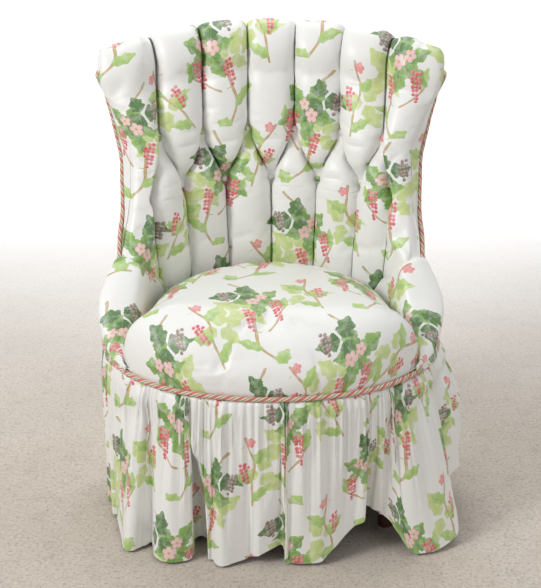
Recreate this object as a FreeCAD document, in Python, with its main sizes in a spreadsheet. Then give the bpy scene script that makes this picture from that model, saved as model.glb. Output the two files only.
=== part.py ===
import FreeCAD, Part
import math
import os
from types import SimpleNamespace

import Sketcher

# Slipper chair: a low upholstered chair with a buttoned tub back, low padded arms, a domed sprung seat
# and a gathered skirt. Millimetres, +Z up, the sitter faces -Y. The pieces are drawn from the widest line
# of the seat and then set back, so that the origin is on the floor under the middle of the chair.

# Driving dimensions: alias, millimetres (or a count), what it is
DIMENSIONS = [
    ("seat_half_width", 314, "half of the widest seat line, at the skirt cord"),
    ("seat_front_depth", 270, "from the widest line to the front of the seat"),
    ("seat_rear_depth", 238, "from the widest line to the rear of the seat"),
    ("front_end_rise", 8, "front depth of the seat less the plan radius of its front corners"),
    ("rear_end_rise", 38, "rear depth of the seat less the plan radius of its rear corners"),
    ("rail_top", 325, "floor to the top of the seat rails"),
    ("rail_depth", 82, "height of the seat rails"),
    ("rail_thickness", 28, "thickness of the seat rails"),
    ("rail_inset", 8, "skirt line to the outer face of the rails"),
    ("seat_crown", 441, "floor to the crown of the seat"),
    ("tub_axis_forward", 125, "the tub's axis lies this far in front of the widest line"),
    ("wing_wall", 17, "half width of the seat less the radius of the tub at the lower buttons"),
    ("lower_row", 590, "floor to the lower row of buttons"),
    ("upper_row", 682, "floor to the upper row of buttons"),
    ("crest_roll", 815, "floor to where the back starts to roll over its crest"),
    ("crest_drop", 36, "fall of the crest from its middle to its corners"),
    ("tuft_pitch", 91, "button to button along a row"),
    ("button_width", 14, "covered button, across"),
    ("button_thickness", 4.5, "covered button, front to back"),
    ("pleat_width", 4, "bottom of a pleat between two pipes"),
    ("puff", 31, "how far a pipe stands out of its pleats"),
    ("cloth", 1.5, "cover cloth with its interlining"),
    ("soft_gap", 0.3, "clearance of soft pieces"),
    ("padding_behind_button", 12, "padding left behind a button"),
    ("post_width", 31, "back posts, along the tub"),
    ("post_depth", 34, "back posts, front to back"),
    ("crest_rail_depth", 16, "crest rail, front to back"),
    ("crest_rail_height", 77, "crest rail, bottom to top in the middle"),
    ("lower_back_rail_height", 40, "lower back rail, bottom to top"),
    ("arm_board_thickness", 16, "arm boards, side to side"),
    ("arm_board_top", 443, "floor to the top of the arm boards"),
    ("arm_top", 493, "floor to the top of the arms"),
    ("webbing_width", 47, "jute webbing, across"),
    ("webbing_thickness", 2, "jute webbing"),
    ("burlap_thickness", 1.2, "burlap"),
    ("spring_radius", 33, "coil springs, at the middle of the wire"),
    ("spring_wire", 3.2, "coil springs, wire diameter"),
    ("spring_turns", 4, "coil springs, turns"),
    ("twine_width", 2, "spring twine and tufting twine, across"),
    ("edge_roll_width", 17, "stuffed roll along the front rail, across"),
    ("cord_width", 9.5, "twisted trimming cord, across"),
    ("skirt_cloth", 2, "skirt cloth with its lining"),
    ("skirt_hem_gap", 6, "floor to the hem"),
    ("band_height", 24, "tape that the skirt is gathered on"),
    ("leg_top_radius", 23, "legs, at the seat"),
    ("leg_foot_radius", 14, "legs, at the foot"),
    ("leg_inset", 46, "skirt line to the axis of a leg"),
    ("leg_bead", 3, "how far the ring on a leg stands out"),
    ("glide_radius", 11, "nail-on glides"),
    ("glide_height", 5, "nail-on glides"),
    ("corner_block_size", 58, "corner blocks, along the rails"),
    ("corner_block_height", 30, "corner blocks"),
    ("bolt_radius", 4, "leg bolts"),
    ("bolt_fit", 0.1, "clearance round a leg bolt"),
    ("bolt_in_leg", 32, "length of a leg bolt inside its leg"),
    ("nut_height", 6.5, "nut on a leg bolt"),
    ("dust_cover_thickness", 0.8, "cambric under the seat"),
    ("widest_line_back", 13, "the widest line lies this far behind the middle of the chair"),
]

doc = FreeCAD.newDocument("slipper_chair")
sheet = doc.addObject("Spreadsheet::Sheet", "dimensions")
for row, (alias, value, note) in enumerate(DIMENSIONS, start=1):
    sheet.set(f"A{row}", note)
    sheet.set(f"B{row}", str(value))
    sheet.setAlias(f"B{row}", alias)
doc.recompute()
dim = SimpleNamespace(**{alias: float(sheet.get(alias)) for alias, value, note in DIMENSIONS})
parts = []


def vec(x, y, z):
    return FreeCAD.Vector(x, y, z)


def blend(low, high, share):
    return low + (high - low) * share


def table_value(rows, key):
    """Straight-line reading of a table whose first column rises."""
    for low, high in zip(rows, rows[1:]):
        if key <= high[0]:
            share = (key - low[0]) / (high[0] - low[0])
            return tuple(blend(a, b, share) for a, b in zip(low[1:], high[1:]))
    low, high = rows[-2], rows[-1]
    share = (key - low[0]) / (high[0] - low[0])
    return tuple(blend(a, b, share) for a, b in zip(low[1:], high[1:]))


def feature(name, shape):
    """A sub-part whose form is worked out here from the sheet."""
    piece = doc.addObject("Part::Feature", name)
    piece.Shape = shape
    piece.Label = name
    parts.append(piece)
    return piece


def arcs_through(points):
    """A chain of arcs: every second point is the middle of an arc."""
    starts = range(0, len(points) - 2, 2)
    return [Part.Arc(*points[start:start + 3]).toShape() for start in starts]


def line(start, end):
    return Part.LineSegment(start, end).toShape()


def strip_wire(outer, inner):
    """Closed outline between two chains of arcs that run the same way."""
    edges = arcs_through(outer)
    edges.append(line(outer[-1], inner[-1]))
    edges.extend(arcs_through(inner[::-1]))
    edges.append(line(inner[0], outer[0]))
    return Part.Wire(edges)


def ruled_loft(wires):
    return Part.makeLoft(wires, True, True)


# Seat plan: an oval of six tangent arcs
def corner_arc(front):
    """One half of the oval: its depth, and the radius and centre of its corner arcs and of its end arc."""
    depth = dim.seat_front_depth if front else dim.seat_rear_depth
    corner = depth - (dim.front_end_rise if front else dim.rear_end_rise)
    centre = dim.seat_half_width - corner
    big = (centre ** 2 + depth ** 2 - corner ** 2) / (2 * (depth - corner))
    return SimpleNamespace(depth=depth, corner=corner, centre=centre, big=big, big_centre=big - depth)


def oval_joint(front, side, outset, height):
    """Where a corner arc of the oval meets the front or rear arc."""
    half_oval = corner_arc(front)
    length = math.hypot(half_oval.centre, half_oval.big_centre)
    x = half_oval.centre + (half_oval.corner + outset) * half_oval.centre / length
    y = (half_oval.corner + outset) * half_oval.big_centre / length
    return vec(side * x, -y if front else y, height)


def oval_arcs(outset, height):
    """The six arcs of the oval."""
    edges = []
    corners = ((True, 1), (False, 1), (False, -1), (True, -1))
    for front, side in corners:
        half_oval = corner_arc(front)
        joint = oval_joint(front, side, outset, height)
        half = math.atan2(abs(joint.y), abs(joint.x) - half_oval.centre) / 2
        reach = half_oval.corner + outset
        widest = vec(side * (dim.seat_half_width + outset), 0, height)
        middle_y = -reach * math.sin(half) if front else reach * math.sin(half)
        middle = vec(side * (half_oval.centre + reach * math.cos(half)), middle_y, height)
        edges.append(Part.Arc(joint, middle, widest).toShape())
    for front in (True, False):
        left = oval_joint(front, -1, outset, height)
        right = oval_joint(front, 1, outset, height)
        reach = corner_arc(front).depth + outset
        edges.append(Part.Arc(left, vec(0, -reach if front else reach, height), right).toShape())
    return edges


def oval_wire(outset, height):
    return Part.Wire(Part.__sortEdges__(oval_arcs(outset, height)))


def ray_on_circle(origin, direction, centre, radius):
    """Distance along a ray from inside a circle to the circle."""
    to_centre = centre - origin
    along = to_centre.dot(direction)
    return along + math.sqrt(radius ** 2 - to_centre.dot(to_centre) + along ** 2)


TUB_AXIS = vec(0, -dim.tub_axis_forward, 0)


def oval_reach(angle, outset):
    """Distance from the tub's axis to the oval, at an angle in degrees from the rear."""
    turn = math.radians(abs(angle))
    direction = vec(math.sin(turn), math.cos(turn), 0)
    for front in (True, False):
        half_oval = corner_arc(front)
        joint = oval_joint(front, 1, outset, 0)
        slope = math.atan2(joint.x, joint.y - TUB_AXIS.y)
        circle = vec(half_oval.centre, 0, 0)
        radius = half_oval.corner + outset
        on_corner = turn < slope if front else turn > slope
        if not on_corner:
            circle = vec(0, half_oval.big_centre if front else -half_oval.big_centre, 0)
            radius = half_oval.big + outset
        reach = ray_on_circle(TUB_AXIS, direction, circle, radius)
        if front and TUB_AXIS.y + reach * direction.y <= 0:
            return reach
    return reach


def tub_point(angle, reach, height):
    """A point by its angle in degrees from the rear and its distance from the tub's axis."""
    turn = math.radians(angle)
    return vec(reach * math.sin(turn), TUB_AXIS.y + reach * math.cos(turn), height)


# The bed of the tub: the surface that the buttons pull down to. It is an arc in plan at every height.
TUB_RADIUS = dim.seat_half_width - dim.wing_wall


def seat_level(share):
    return blend(dim.rail_top, dim.lower_row, share)


def row_level(share):
    return blend(dim.lower_row, dim.upper_row, share)


def wing_level(share):
    return blend(dim.upper_row, dim.crest_roll, share)


# height, radius as a share of the tub radius, rear reach as a share of the tub radius
BED_SHARES = [
    (seat_level(0), 0.919, 0.919),
    (seat_level(0.45), 0.929, 0.929),
    (seat_level(1), 1.0, 1.0),
    (row_level(1), 1.094, 1.061),
    (wing_level(0.59), 1.414, 1.118),
    (wing_level(1), 1.65, 1.172),
]


def bed(height):
    """Centre y and radius of the bed at a height."""
    radius_share, reach_share = table_value(BED_SHARES, height)
    radius = radius_share * TUB_RADIUS
    return TUB_AXIS.y + reach_share * TUB_RADIUS - radius, radius


def bed_point(along, outset, height):
    """A point by its length along the bed from the middle, and its distance behind the bed."""
    centre_y, radius = bed(height)
    turn = along / radius
    return vec((radius + outset) * math.sin(turn), centre_y + (radius + outset) * math.cos(turn), height)


def bed_place(point, height=None):
    """The length along the bed and the distance behind it of a point."""
    centre_y, radius = bed(point.z if height is None else height)
    turn = math.atan2(point.x, point.y - centre_y)
    return turn * radius, math.hypot(point.x, point.y - centre_y) - radius


def sunk_room(along, height):
    """How far behind the bed the rows that sink towards the crest's corners reach."""
    above = height + crest_fall(along, height)
    point = bed_point(along, 0, height + crest_fall(along, above))
    return bed_place(point, height)[1]


def bed_arc(along_from, along_to, outset, height):
    """Points of two arcs that follow the back of the padding."""
    points = []
    for share in (0, 0.25, 0.5, 0.75, 1):
        along = blend(along_from, along_to, share)
        points.append(bed_point(along, outset + sunk_room(along, height), height))
    return points


# The border: the corded seam between the inside and the outside of the back and arms.
# height, angle in degrees from the rear, reach as a share of the tub radius
BORDER_SHARES = [
    (seat_level(0.035), 99.8, 0.850),
    (seat_level(0.057), 95.5, 0.914),
    (seat_level(0.10), 92.4, 0.965),
    (seat_level(0.19), 88.0, 1.012),
    (seat_level(0.31), 83.0, 1.052),
    (seat_level(0.39), 79.5, 1.062),
    (seat_level(0.49), 74.5, 1.046),
    (seat_level(0.611), 68.6, 1.030),
    (seat_level(0.755), 63.0, 1.039),
    (seat_level(0.887), 58.8, 1.068),
    (seat_level(1), 56.2, 1.104),
    (row_level(0.27), 54.3, 1.138),
    (row_level(0.5), 52.9, 1.168),
    (row_level(0.76), 51.6, 1.205),
    (row_level(1), 50.9, 1.250),
    (wing_level(0.17), 50.5, 1.285),
    (wing_level(0.36), 50.0, 1.323),
    (wing_level(0.59), 49.5, 1.387),
    (wing_level(0.85), 48.9, 1.445),
    (wing_level(1), 48.4, 1.470),
]


# The last row of the border below the rounded corner of the crest
CORNER_ROW = 17


def border_point(height):
    angle, reach_share = table_value(BORDER_SHARES, height)
    return tub_point(angle, reach_share * TUB_RADIUS, height)


def border_angle(height):
    return table_value(BORDER_SHARES, height)[0]


# Rear middle of the outside back: height, reach behind the rear of the rails as a share of the rear depth
REAR_SHARES = [
    (seat_level(0), 0.0),
    (seat_level(1), 0.029),
    (row_level(1), 0.055),
    (wing_level(0.59), 0.088),
    (wing_level(1), 0.126),
]
COVER_INSET = dim.rail_inset - dim.cloth - dim.soft_gap


def skin_reach(angle, height):
    """Distance from the tub's axis to the outside cover."""
    edge_angle, edge_share = table_value(BORDER_SHARES, max(height, BORDER_SHARES[0][0]))
    rear = table_value(REAR_SHARES, max(height, dim.rail_top))[0] * dim.seat_rear_depth
    edge = edge_share * TUB_RADIUS - oval_reach(edge_angle, -COVER_INSET)
    if height <= dim.rail_top + 0.86 * dim.cord_width:
        return oval_reach(angle, -COVER_INSET)
    share = min(1, abs(angle) / edge_angle)
    return oval_reach(angle, -COVER_INSET) + rear + (edge - rear) * share ** 2


# Inside back: stations up the back.
# height, crease stands forward of the bed, pipe stands forward (shares of the puff), how far the pleats
# of the upper row have parted towards the lower row, width of a pleat (share of the button's seat)
SIDE_JOINT_ANGLE = 67.6
BUTTON_SEAT = dim.button_width + 2 * dim.cloth
# The outermost buttons of the lower row sit this much nearer to the middle
OUTER_DRAW = 0.08 * dim.tuft_pitch
PLEAT_SHARE = dim.pleat_width / BUTTON_SEAT
STATIONS = [
    (seat_level(0.10), 0.16, 0.45, 1, PLEAT_SHARE),
    (seat_level(0.28), 0.20, 0.45, 1, PLEAT_SHARE),
    (seat_level(0.45), 0.24, 0.52, 1, PLEAT_SHARE),
    (seat_level(0.611), 0.28, 0.66, 1, PLEAT_SHARE),
    (seat_level(0.755), 0.30, 0.80, 1, PLEAT_SHARE),
    (seat_level(0.887), 0.20, 0.92, 1, PLEAT_SHARE),
    (seat_level(0.955), 0.09, 0.97, 1, 0.36),
    (seat_level(1), 0.02, 1.0, 1, 1),
    (row_level(0.13), 0.09, 1.0, 0.85, 0.36),
    (row_level(0.32), 0.20, 1.0, 0.66, PLEAT_SHARE),
    (row_level(0.5), 0.24, 1.0, 0.48, PLEAT_SHARE),
    (row_level(0.7), 0.18, 1.0, 0.29, PLEAT_SHARE),
    (row_level(0.87), 0.08, 1.0, 0.13, 0.36),
    (row_level(1), 0.02, 1.02, 0, 1),
    (wing_level(0.1), 0.10, 1.03, 0, 0.36),
    (wing_level(0.22), 0.22, 1.04, 0, PLEAT_SHARE),
    (wing_level(0.42), 0.34, 1.05, 0, PLEAT_SHARE),
    (wing_level(0.65), 0.40, 1.05, 0, PLEAT_SHARE),
    (wing_level(0.85), 0.42, 1.05, 0, PLEAT_SHARE),
]
# Stations over the crest, each as behind-the-bed and above-the-roll shares of the crest's rise,
# for a pipe, for a pleat and for the frame side
CREST_RISE = 57 / 31 * dim.puff
CREST_SHARES = [
    ((-0.56, 0.16), (-0.22, 0.08), (0.21, 0.04)),
    ((-0.44, 0.52), (-0.14, 0.26), (0.23, 0.20)),
    ((-0.16, 0.88), (0.02, 0.46), (0.27, 0.40)),
    ((0.16, 1.0), (0.20, 0.60), (0.34, 0.50)),
    ((0.46, 0.88), (0.42, 0.66), (0.48, 0.50)),
    ((0.66, 0.56), (0.62, 0.50), (0.61, 0.42)),
    ((0.70, 0.21), (0.70, 0.21), (0.655, 0.21)),
]
SEAM_SLOPE = 0.36


def pleat_edges(parted, pleat_share, height):
    """Places of the fourteen pleat edges along the bed."""
    width = pleat_share * BUTTON_SEAT
    gather = min(1, bed(height)[1] / TUB_RADIUS)
    edges = []
    for column in range(6):
        centre = (column - 2.5) * dim.tuft_pitch
        upper_half = width / 2
        lower_half = (dim.tuft_pitch - width) / 2
        half = blend(upper_half, lower_half, parted)
        edges.extend([(centre - half) * gather, (centre + half) * gather])
    outer = blend(dim.pleat_width, width, parted) * gather
    draw = OUTER_DRAW * parted * gather
    edges[0] += draw
    edges[-1] -= draw
    return [edges[0] - outer] + edges + [edges[-1] + outer]


def forward_share(width, pleat, pipe):
    """How far the middle of a pipe stands forward, by its width."""
    fullness = min(1, max(0, width - BUTTON_SEAT) / (0.62 * dim.tuft_pitch))
    return blend(pleat - 0.015, pipe, math.sin(fullness * math.pi / 2))


def tuft_row(edges, pleat, pipe):
    """Along and forward shares of the pleat edges and of the pipe middles between them."""
    row = []
    for index, edge in enumerate(edges):
        row.append((edge, pleat))
        if index + 1 < len(edges):
            middle = (edge + edges[index + 1]) / 2
            row.append((middle, forward_share(edges[index + 1] - edge, pleat, pipe)))
    return row


def crest_fall(along, height):
    """How far a station has sunk towards the corners; the upper stations follow the crest."""
    corner_along = bed_place(border_point(dim.crest_roll))[0]
    ramp = min(1, max(0, (height - dim.upper_row) / (wing_level(0.85) - dim.upper_row)))
    return dim.crest_drop * ramp * (along / corner_along) ** 2


def back_station(station):
    """Front points of one station up the back, left border to right border."""
    height, pleat, pipe, parted, pleat_share = station
    edges = pleat_edges(parted, pleat_share, height)
    row = tuft_row(edges, pleat, pipe)
    if height <= seat_level(0.62):
        border_along = math.radians(SIDE_JOINT_ANGLE) * bed(height)[1]
        border_outset = back_outset(height) - dim.soft_gap
        front_along = border_along
        roll = (border_along - 0.03 * dim.puff, (border_outset - pipe * dim.puff) / 2)
    else:
        sunk = height - crest_fall(bed_place(border_point(height))[0], height)
        border_along, border_outset = bed_place(border_point(sunk), height)
        front_along = border_along - 0.35 * dim.puff
        roll = (border_along + 0.2 * dim.puff, 0.25 * border_outset - 0.25 * dim.puff)
    last = row[-1][0]
    wing = forward_share(front_along - last + BUTTON_SEAT, pleat, pipe)
    front_outset = -blend(pleat, pipe, 0.62) * dim.puff
    right = [
        ((last + front_along) / 2, -wing * dim.puff),
        (front_along, front_outset),
        roll,
        (border_along, border_outset),
    ]
    middle = [(along, -forward * dim.puff) for along, forward in row]
    left = [(-along, outset) for along, outset in right[::-1]]
    return [bed_point(along, outset, height) - vec(0, 0, crest_fall(along, height))
            for along, outset in left + middle + right]


def crest_height(along, rise):
    """Height over the crest; it falls towards the corners."""
    corner_along = bed_place(border_point(dim.crest_roll))[0]
    return dim.crest_roll + rise - dim.crest_drop * (along / corner_along) ** 2


def crest_station(index):
    """Front points of one station over the crest."""
    pipe, pleat = CREST_SHARES[index][:2]
    row = tuft_row(pleat_edges(0, PLEAT_SHARE, dim.crest_roll), 0, 1)
    share = (index + 1) / len(CREST_SHARES)
    last_height = STATIONS[-1][0]
    sunk = last_height - crest_fall(bed_place(border_point(last_height))[0], last_height)
    start = border_point(sunk)
    start_along, start_outset = bed_place(start, dim.crest_roll)
    corner_along = bed_place(border_point(dim.crest_roll))[0]
    seam_outset, seam_rise = (part * CREST_RISE for part in CREST_SHARES[-1][0])
    end_along = corner_along - 0.9 * dim.puff
    end_height = crest_height(end_along, seam_rise)
    last = row[-1][0]
    right = []
    front_along = blend(start_along - 0.35 * dim.puff, end_along - 0.5 * dim.puff, share)
    for along, fullness in (((last + front_along) / 2, 0.8), (front_along, 0.62)):
        outset = blend(pleat[0], pipe[0], fullness) * CREST_RISE
        rise = blend(pleat[1], pipe[1], fullness) * CREST_RISE
        right.append((along, outset, crest_height(along, rise)))
    swell = math.sin(math.pi * share)
    border = (blend(start_along, end_along, share ** 2) + 0.4 * dim.puff * swell,
              blend(start_outset, seam_outset, share),
              blend(start.z, end_height, share) + 0.5 * dim.puff * swell)
    front = right[-1]
    bulge = 0.25 * dim.puff * (1 - 0.6 * share)
    roll = [(a + b) / 2 for a, b in zip(front, border)]
    right.append((roll[0] + bulge, roll[1], roll[2] + bulge * share))
    right.append(border)
    middle = []
    for along, forward in row:
        outset = blend(pleat[0], pipe[0], forward) * CREST_RISE
        rise = blend(pleat[1], pipe[1], forward) * CREST_RISE
        middle.append((along, outset, crest_height(along, rise)))
    left = [(-along, outset, height) for along, outset, height in right[::-1]]
    points = [bed_point(along, outset, dim.crest_roll) + vec(0, 0, height - dim.crest_roll)
              for along, outset, height in left + middle + right]
    if share == 1:
        points = [on_seam_plane(point) for point in points]
    return points


def seam_anchor():
    rise = CREST_SHARES[-1][0][1] * CREST_RISE
    outset = CREST_SHARES[-1][0][0] * CREST_RISE
    return bed_point(0, outset, dim.crest_roll) + vec(0, 0, rise)


def on_seam_plane(point):
    """The crest seam lies in one sloping plane."""
    anchor = seam_anchor()
    return vec(point.x, point.y, anchor.z + SEAM_SLOPE * (point.y - anchor.y))


def back_outset(height):
    """How far behind the bed the padding ends."""
    foot = dim.padding_behind_button * 0.6
    share = min(1, max(0, (height - dim.rail_top) / (dim.lower_row - dim.rail_top)))
    return dim.padding_behind_button + foot * (1 - share)


def level_with(height):
    return lambda point: vec(point.x, point.y, height)


def in_radial_plane(angle):
    return lambda point: tub_point(angle, math.hypot(point.x, point.y - TUB_AXIS.y), point.z)


def grid_offset(grid, depth, first_plane, last_plane):
    """The grid of points moved into the pad, square to its surface; the end rows keep their planes."""
    moved = []
    for k, row in enumerate(grid):
        new_row = []
        below = grid[max(0, k - 1)]
        above = grid[min(len(grid) - 1, k + 1)]
        for j, point in enumerate(row):
            across = row[min(len(row) - 1, j + 1)] - row[max(0, j - 1)]
            upward = above[j] - below[j]
            normal = upward.cross(across)
            normal.normalize()
            new_row.append(point + normal * depth)
        moved.append(new_row)
    moved[0] = [first_plane(point) for point in moved[0]]
    moved[-1] = [last_plane(point) for point in moved[-1]]
    return moved


GRID = [back_station(station) for station in STATIONS]
GRID += [crest_station(index) for index in range(len(CREST_SHARES))]


def inside_back_cover():
    inner = grid_offset(GRID, dim.cloth, level_with(STATIONS[0][0]), on_seam_plane)
    return ruled_loft([strip_wire(outer, under) for outer, under in zip(GRID, inner)])


EIGHTHS = (-1, -0.75, -0.5, -0.25, 0, 0.25, 0.5, 0.75, 1)


def frame_side_row(k):
    """Back of the padding at one station: eight arcs' points along the frame side."""
    if k < len(STATIONS):
        height = STATIONS[k][0]
        end = GRID[k][-1]
        end_along = bed_place(end, height)[0]
        reach = end_along - 0.64 * dim.puff if height > seat_level(0.62) else end_along
        return [bed_point(share * reach, back_outset(height), height)
                - vec(0, 0, crest_fall(share * reach, height)) for share in EIGHTHS]
    index = k - len(STATIONS)
    outset_share, rise_share = CREST_SHARES[index][2]
    corner_along = bed_place(border_point(dim.crest_roll))[0]
    reach = corner_along - 1.35 * dim.puff
    row = []
    for share in EIGHTHS:
        along = share * reach
        point = bed_point(along, outset_share * CREST_RISE, dim.crest_roll)
        point.z = crest_height(along, rise_share * CREST_RISE)
        row.append(on_seam_plane(point) if index == len(CREST_SHARES) - 1 else point)
    return row


def back_padding():
    outer = grid_offset(GRID, dim.cloth + 2 * dim.soft_gap, level_with(STATIONS[0][0]), on_seam_plane)
    wires = [strip_wire(front, frame_side_row(k)) for k, front in enumerate(outer)]
    return ruled_loft(wires)


def prism(points, rise):
    """A straight prism on a closed polygon."""
    outline = Part.makePolygon(points + [points[0]])
    return Part.Face(outline).extrude(rise)


TURN_LEVELS = sorted([row[0] for row in BED_SHARES] + [wing_level(0.2), wing_level(0.4), wing_level(0.8)])


def levels_between(low, high):
    """The two levels, with the levels between them where the frame turns."""
    return [low] + [level for level in TURN_LEVELS if low < level < high] + [high]


def band(outer_outset, inner_outset, bottom, top):
    """A ring of the seat's oval between two outsets."""
    outer = Part.Face(oval_wire(outer_outset, bottom))
    inner = Part.Face(oval_wire(inner_outset, bottom))
    return outer.cut(inner).extrude(vec(0, 0, top - bottom))


def sector(angles, bottom, top):
    """A wedge of space round the tub's axis, between the first and the last angle."""
    reach = 2 * (dim.seat_half_width + dim.seat_rear_depth)
    corners = [tub_point(0, 0, bottom)] + [tub_point(angle, reach, bottom) for angle in angles]
    return prism(corners, vec(0, 0, top - bottom))


def mirrored(shape):
    return shape.mirror(vec(0, 0, 0), vec(1, 0, 0))


def pair(name, right):
    """Right and left pieces, mirror images."""
    feature(name + "_right", right)
    feature(name + "_left", mirrored(right))


def bound(target, prop, expression):
    target.setExpression(prop, expression)


def body_on_floor(name, plane_role):
    """A body with an empty sketch on one of its origin planes."""
    body = doc.addObject("PartDesign::Body", name)
    body.Label = name
    sketch = body.newObject("Sketcher::SketchObject", name + "_profile")
    plane = next(item for item in body.Origin.OriginFeatures if item.Role == plane_role)
    sketch.AttachmentSupport = (plane, "")
    sketch.MapMode = "FlatFace"
    parts.append(body)
    return body, sketch


def slab(name, outlines, bottom, thickness):
    """A flat piece: outlines of arcs and lines, padded by a bound thickness from a bound level."""
    body, sketch = body_on_floor(name, "XY_Plane")
    for outline in outlines:
        for edge in outline:
            sketch.addGeometry(edge, False)
    bound(sketch, ".AttachmentOffset.Base.z", bottom)
    pad = body.newObject("PartDesign::Pad", name + "_pad")
    pad.Profile = sketch
    pad.Type = 0
    bound(pad, "Length", thickness)
    sketch.Visibility = False
    return body


def turned(name, profile, place):
    """A turned piece: (radius, height) pairs, each a value with its expression, revolved about Z."""
    body, sketch = body_on_floor(name, "XZ_Plane")
    corners = [vec(radius[0], height[0], 0) for radius, height in profile]
    for index, corner in enumerate(corners):
        sketch.addGeometry(Part.LineSegment(corner, corners[(index + 1) % len(corners)]), False)
    for index in range(len(corners)):
        sketch.addConstraint(Sketcher.Constraint("Coincident", index, 2, (index + 1) % len(corners), 1))
    for index, (radius, height) in enumerate(profile):
        for kind, (value, expression) in (("DistanceX", radius), ("DistanceY", height)):
            number = sketch.addConstraint(Sketcher.Constraint(kind, -1, 1, index, 1, value))
            bound(sketch, f"Constraints[{number}]", expression)
    turn = body.newObject("PartDesign::Revolution", name + "_turn")
    turn.Profile = sketch
    turn.ReferenceAxis = (sketch, ["V_Axis"])
    turn.Angle = 360
    body.Placement.Base = place
    return body


# Seat frame: four bent rails. Their joints, over the legs, by angle from the widest line, front and rear
RAIL_JOINTS = {True: 41, False: 52}


def arc_between(start, middle, end):
    return Part.Arc(start, middle, end)


def corner_place(front, side, degrees, outset, height=0):
    """A point of a corner arc by its angle from the widest line."""
    half_oval = corner_arc(front)
    turn = math.radians(degrees)
    reach = half_oval.corner + outset
    y = -reach * math.sin(turn) if front else reach * math.sin(turn)
    return vec(side * (half_oval.centre + reach * math.cos(turn)), y, height)


def joint_degrees(front):
    half_oval = corner_arc(front)
    return math.degrees(math.atan2(half_oval.big_centre, half_oval.centre))


def corner_piece(front, side, start, end, outset):
    """The stretch of a corner arc between two angles."""
    places = [corner_place(front, side, degrees, outset) for degrees in (start, (start + end) / 2, end)]
    return arc_between(*places)


RAIL_FACES = (-dim.rail_inset, -dim.rail_inset - dim.rail_thickness)


def rail_ends(front, side):
    places = [corner_place(front, side, RAIL_JOINTS[front], outset) for outset in RAIL_FACES]
    return Part.LineSegment(*places)


def end_rail(front):
    """Front or rear rail: its big arc and a stretch of both corners."""
    outline = []
    for outset in RAIL_FACES:
        left, right = [oval_joint(front, side, outset, 0) for side in (-1, 1)]
        crown = vec(0, (corner_arc(front).depth + outset) * (-1 if front else 1), 0)
        outline.append(arc_between(left, crown, right))
        for side in (-1, 1):
            outline.append(corner_piece(front, side, RAIL_JOINTS[front], joint_degrees(front), outset))
    return outline + [rail_ends(front, side) for side in (-1, 1)]


def side_rail(side):
    outline = [corner_piece(front, side, 0, RAIL_JOINTS[front], outset)
               for outset in RAIL_FACES for front in (True, False)]
    return outline + [rail_ends(front, side) for front in (True, False)]


RAIL_BOTTOM = "dimensions.rail_top - dimensions.rail_depth"
slab("seat_rail_front", [end_rail(True)], RAIL_BOTTOM, "dimensions.rail_depth")
slab("seat_rail_rear", [end_rail(False)], RAIL_BOTTOM, "dimensions.rail_depth")
slab("seat_rail_right", [side_rail(1)], RAIL_BOTTOM, "dimensions.rail_depth")
slab("seat_rail_left", [side_rail(-1)], RAIL_BOTTOM, "dimensions.rail_depth")
rail_bottom = dim.rail_top - dim.rail_depth

# Leg axes, and the blocks glued across each rail joint over them
CORNERS = [(end, hand, end == "front", side)
           for end in ("front", "rear") for hand, side in (("left", -1), ("right", 1))]
bolt_hole = dim.bolt_radius + dim.bolt_fit
leg_places = {}
for end, hand, front, side in CORNERS:
    inset = -dim.rail_inset - dim.rail_thickness - dim.soft_gap
    joint = corner_place(front, side, RAIL_JOINTS[front], inset)
    leg_axis = corner_place(front, side, RAIL_JOINTS[front], -dim.leg_inset)
    leg_places[(end, hand)] = leg_axis
    deeper = corner_place(front, side, RAIL_JOINTS[front], inset - dim.rail_thickness)
    inward = (deeper - joint).normalize()
    along = vec(-inward.y, inward.x, 0)
    half = dim.corner_block_size / 2
    sag = half ** 2 / (2 * (corner_arc(front).corner + inset))
    face = joint + inward * sag
    back = joint + inward * (sag + 0.6 * dim.corner_block_size)
    narrow = 0.55 * half
    corners = [face + along * half, face - along * half, back - along * narrow, back + along * narrow]
    outline = [Part.LineSegment(corners[i], corners[(i + 1) % len(corners)]) for i in range(len(corners))]
    hole = [Part.Circle(leg_axis, vec(0, 0, 1), bolt_hole)]
    slab(f"corner_block_{end}_{hand}", [outline, hole], RAIL_BOTTOM, "dimensions.corner_block_height")

# Legs: turned, tapered, with a ring under the seat; a nail-on glide under each
half_ring = 2 * dim.leg_bead
leg_profile = [
    ((0, "0"), (dim.glide_height, "dimensions.glide_height")),
    ((dim.leg_foot_radius, "dimensions.leg_foot_radius"), (dim.glide_height, "dimensions.glide_height")),
    ((dim.leg_top_radius - dim.leg_bead, "dimensions.leg_top_radius - dimensions.leg_bead"),
     (rail_bottom - 3 * half_ring, RAIL_BOTTOM + " - 6 * dimensions.leg_bead")),
    ((dim.leg_top_radius + dim.leg_bead, "dimensions.leg_top_radius + dimensions.leg_bead"),
     (rail_bottom - 2 * half_ring, RAIL_BOTTOM + " - 4 * dimensions.leg_bead")),
    ((dim.leg_top_radius, "dimensions.leg_top_radius"),
     (rail_bottom - half_ring, RAIL_BOTTOM + " - 2 * dimensions.leg_bead")),
    ((dim.leg_top_radius, "dimensions.leg_top_radius"), (rail_bottom, RAIL_BOTTOM)),
    ((bolt_hole, "dimensions.bolt_radius + dimensions.bolt_fit"), (rail_bottom, RAIL_BOTTOM)),
    ((bolt_hole, "dimensions.bolt_radius + dimensions.bolt_fit"),
     (rail_bottom - dim.bolt_in_leg, RAIL_BOTTOM + " - dimensions.bolt_in_leg")),
    ((0, "0"), (rail_bottom - dim.bolt_in_leg, RAIL_BOTTOM + " - dimensions.bolt_in_leg")),
]
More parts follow.
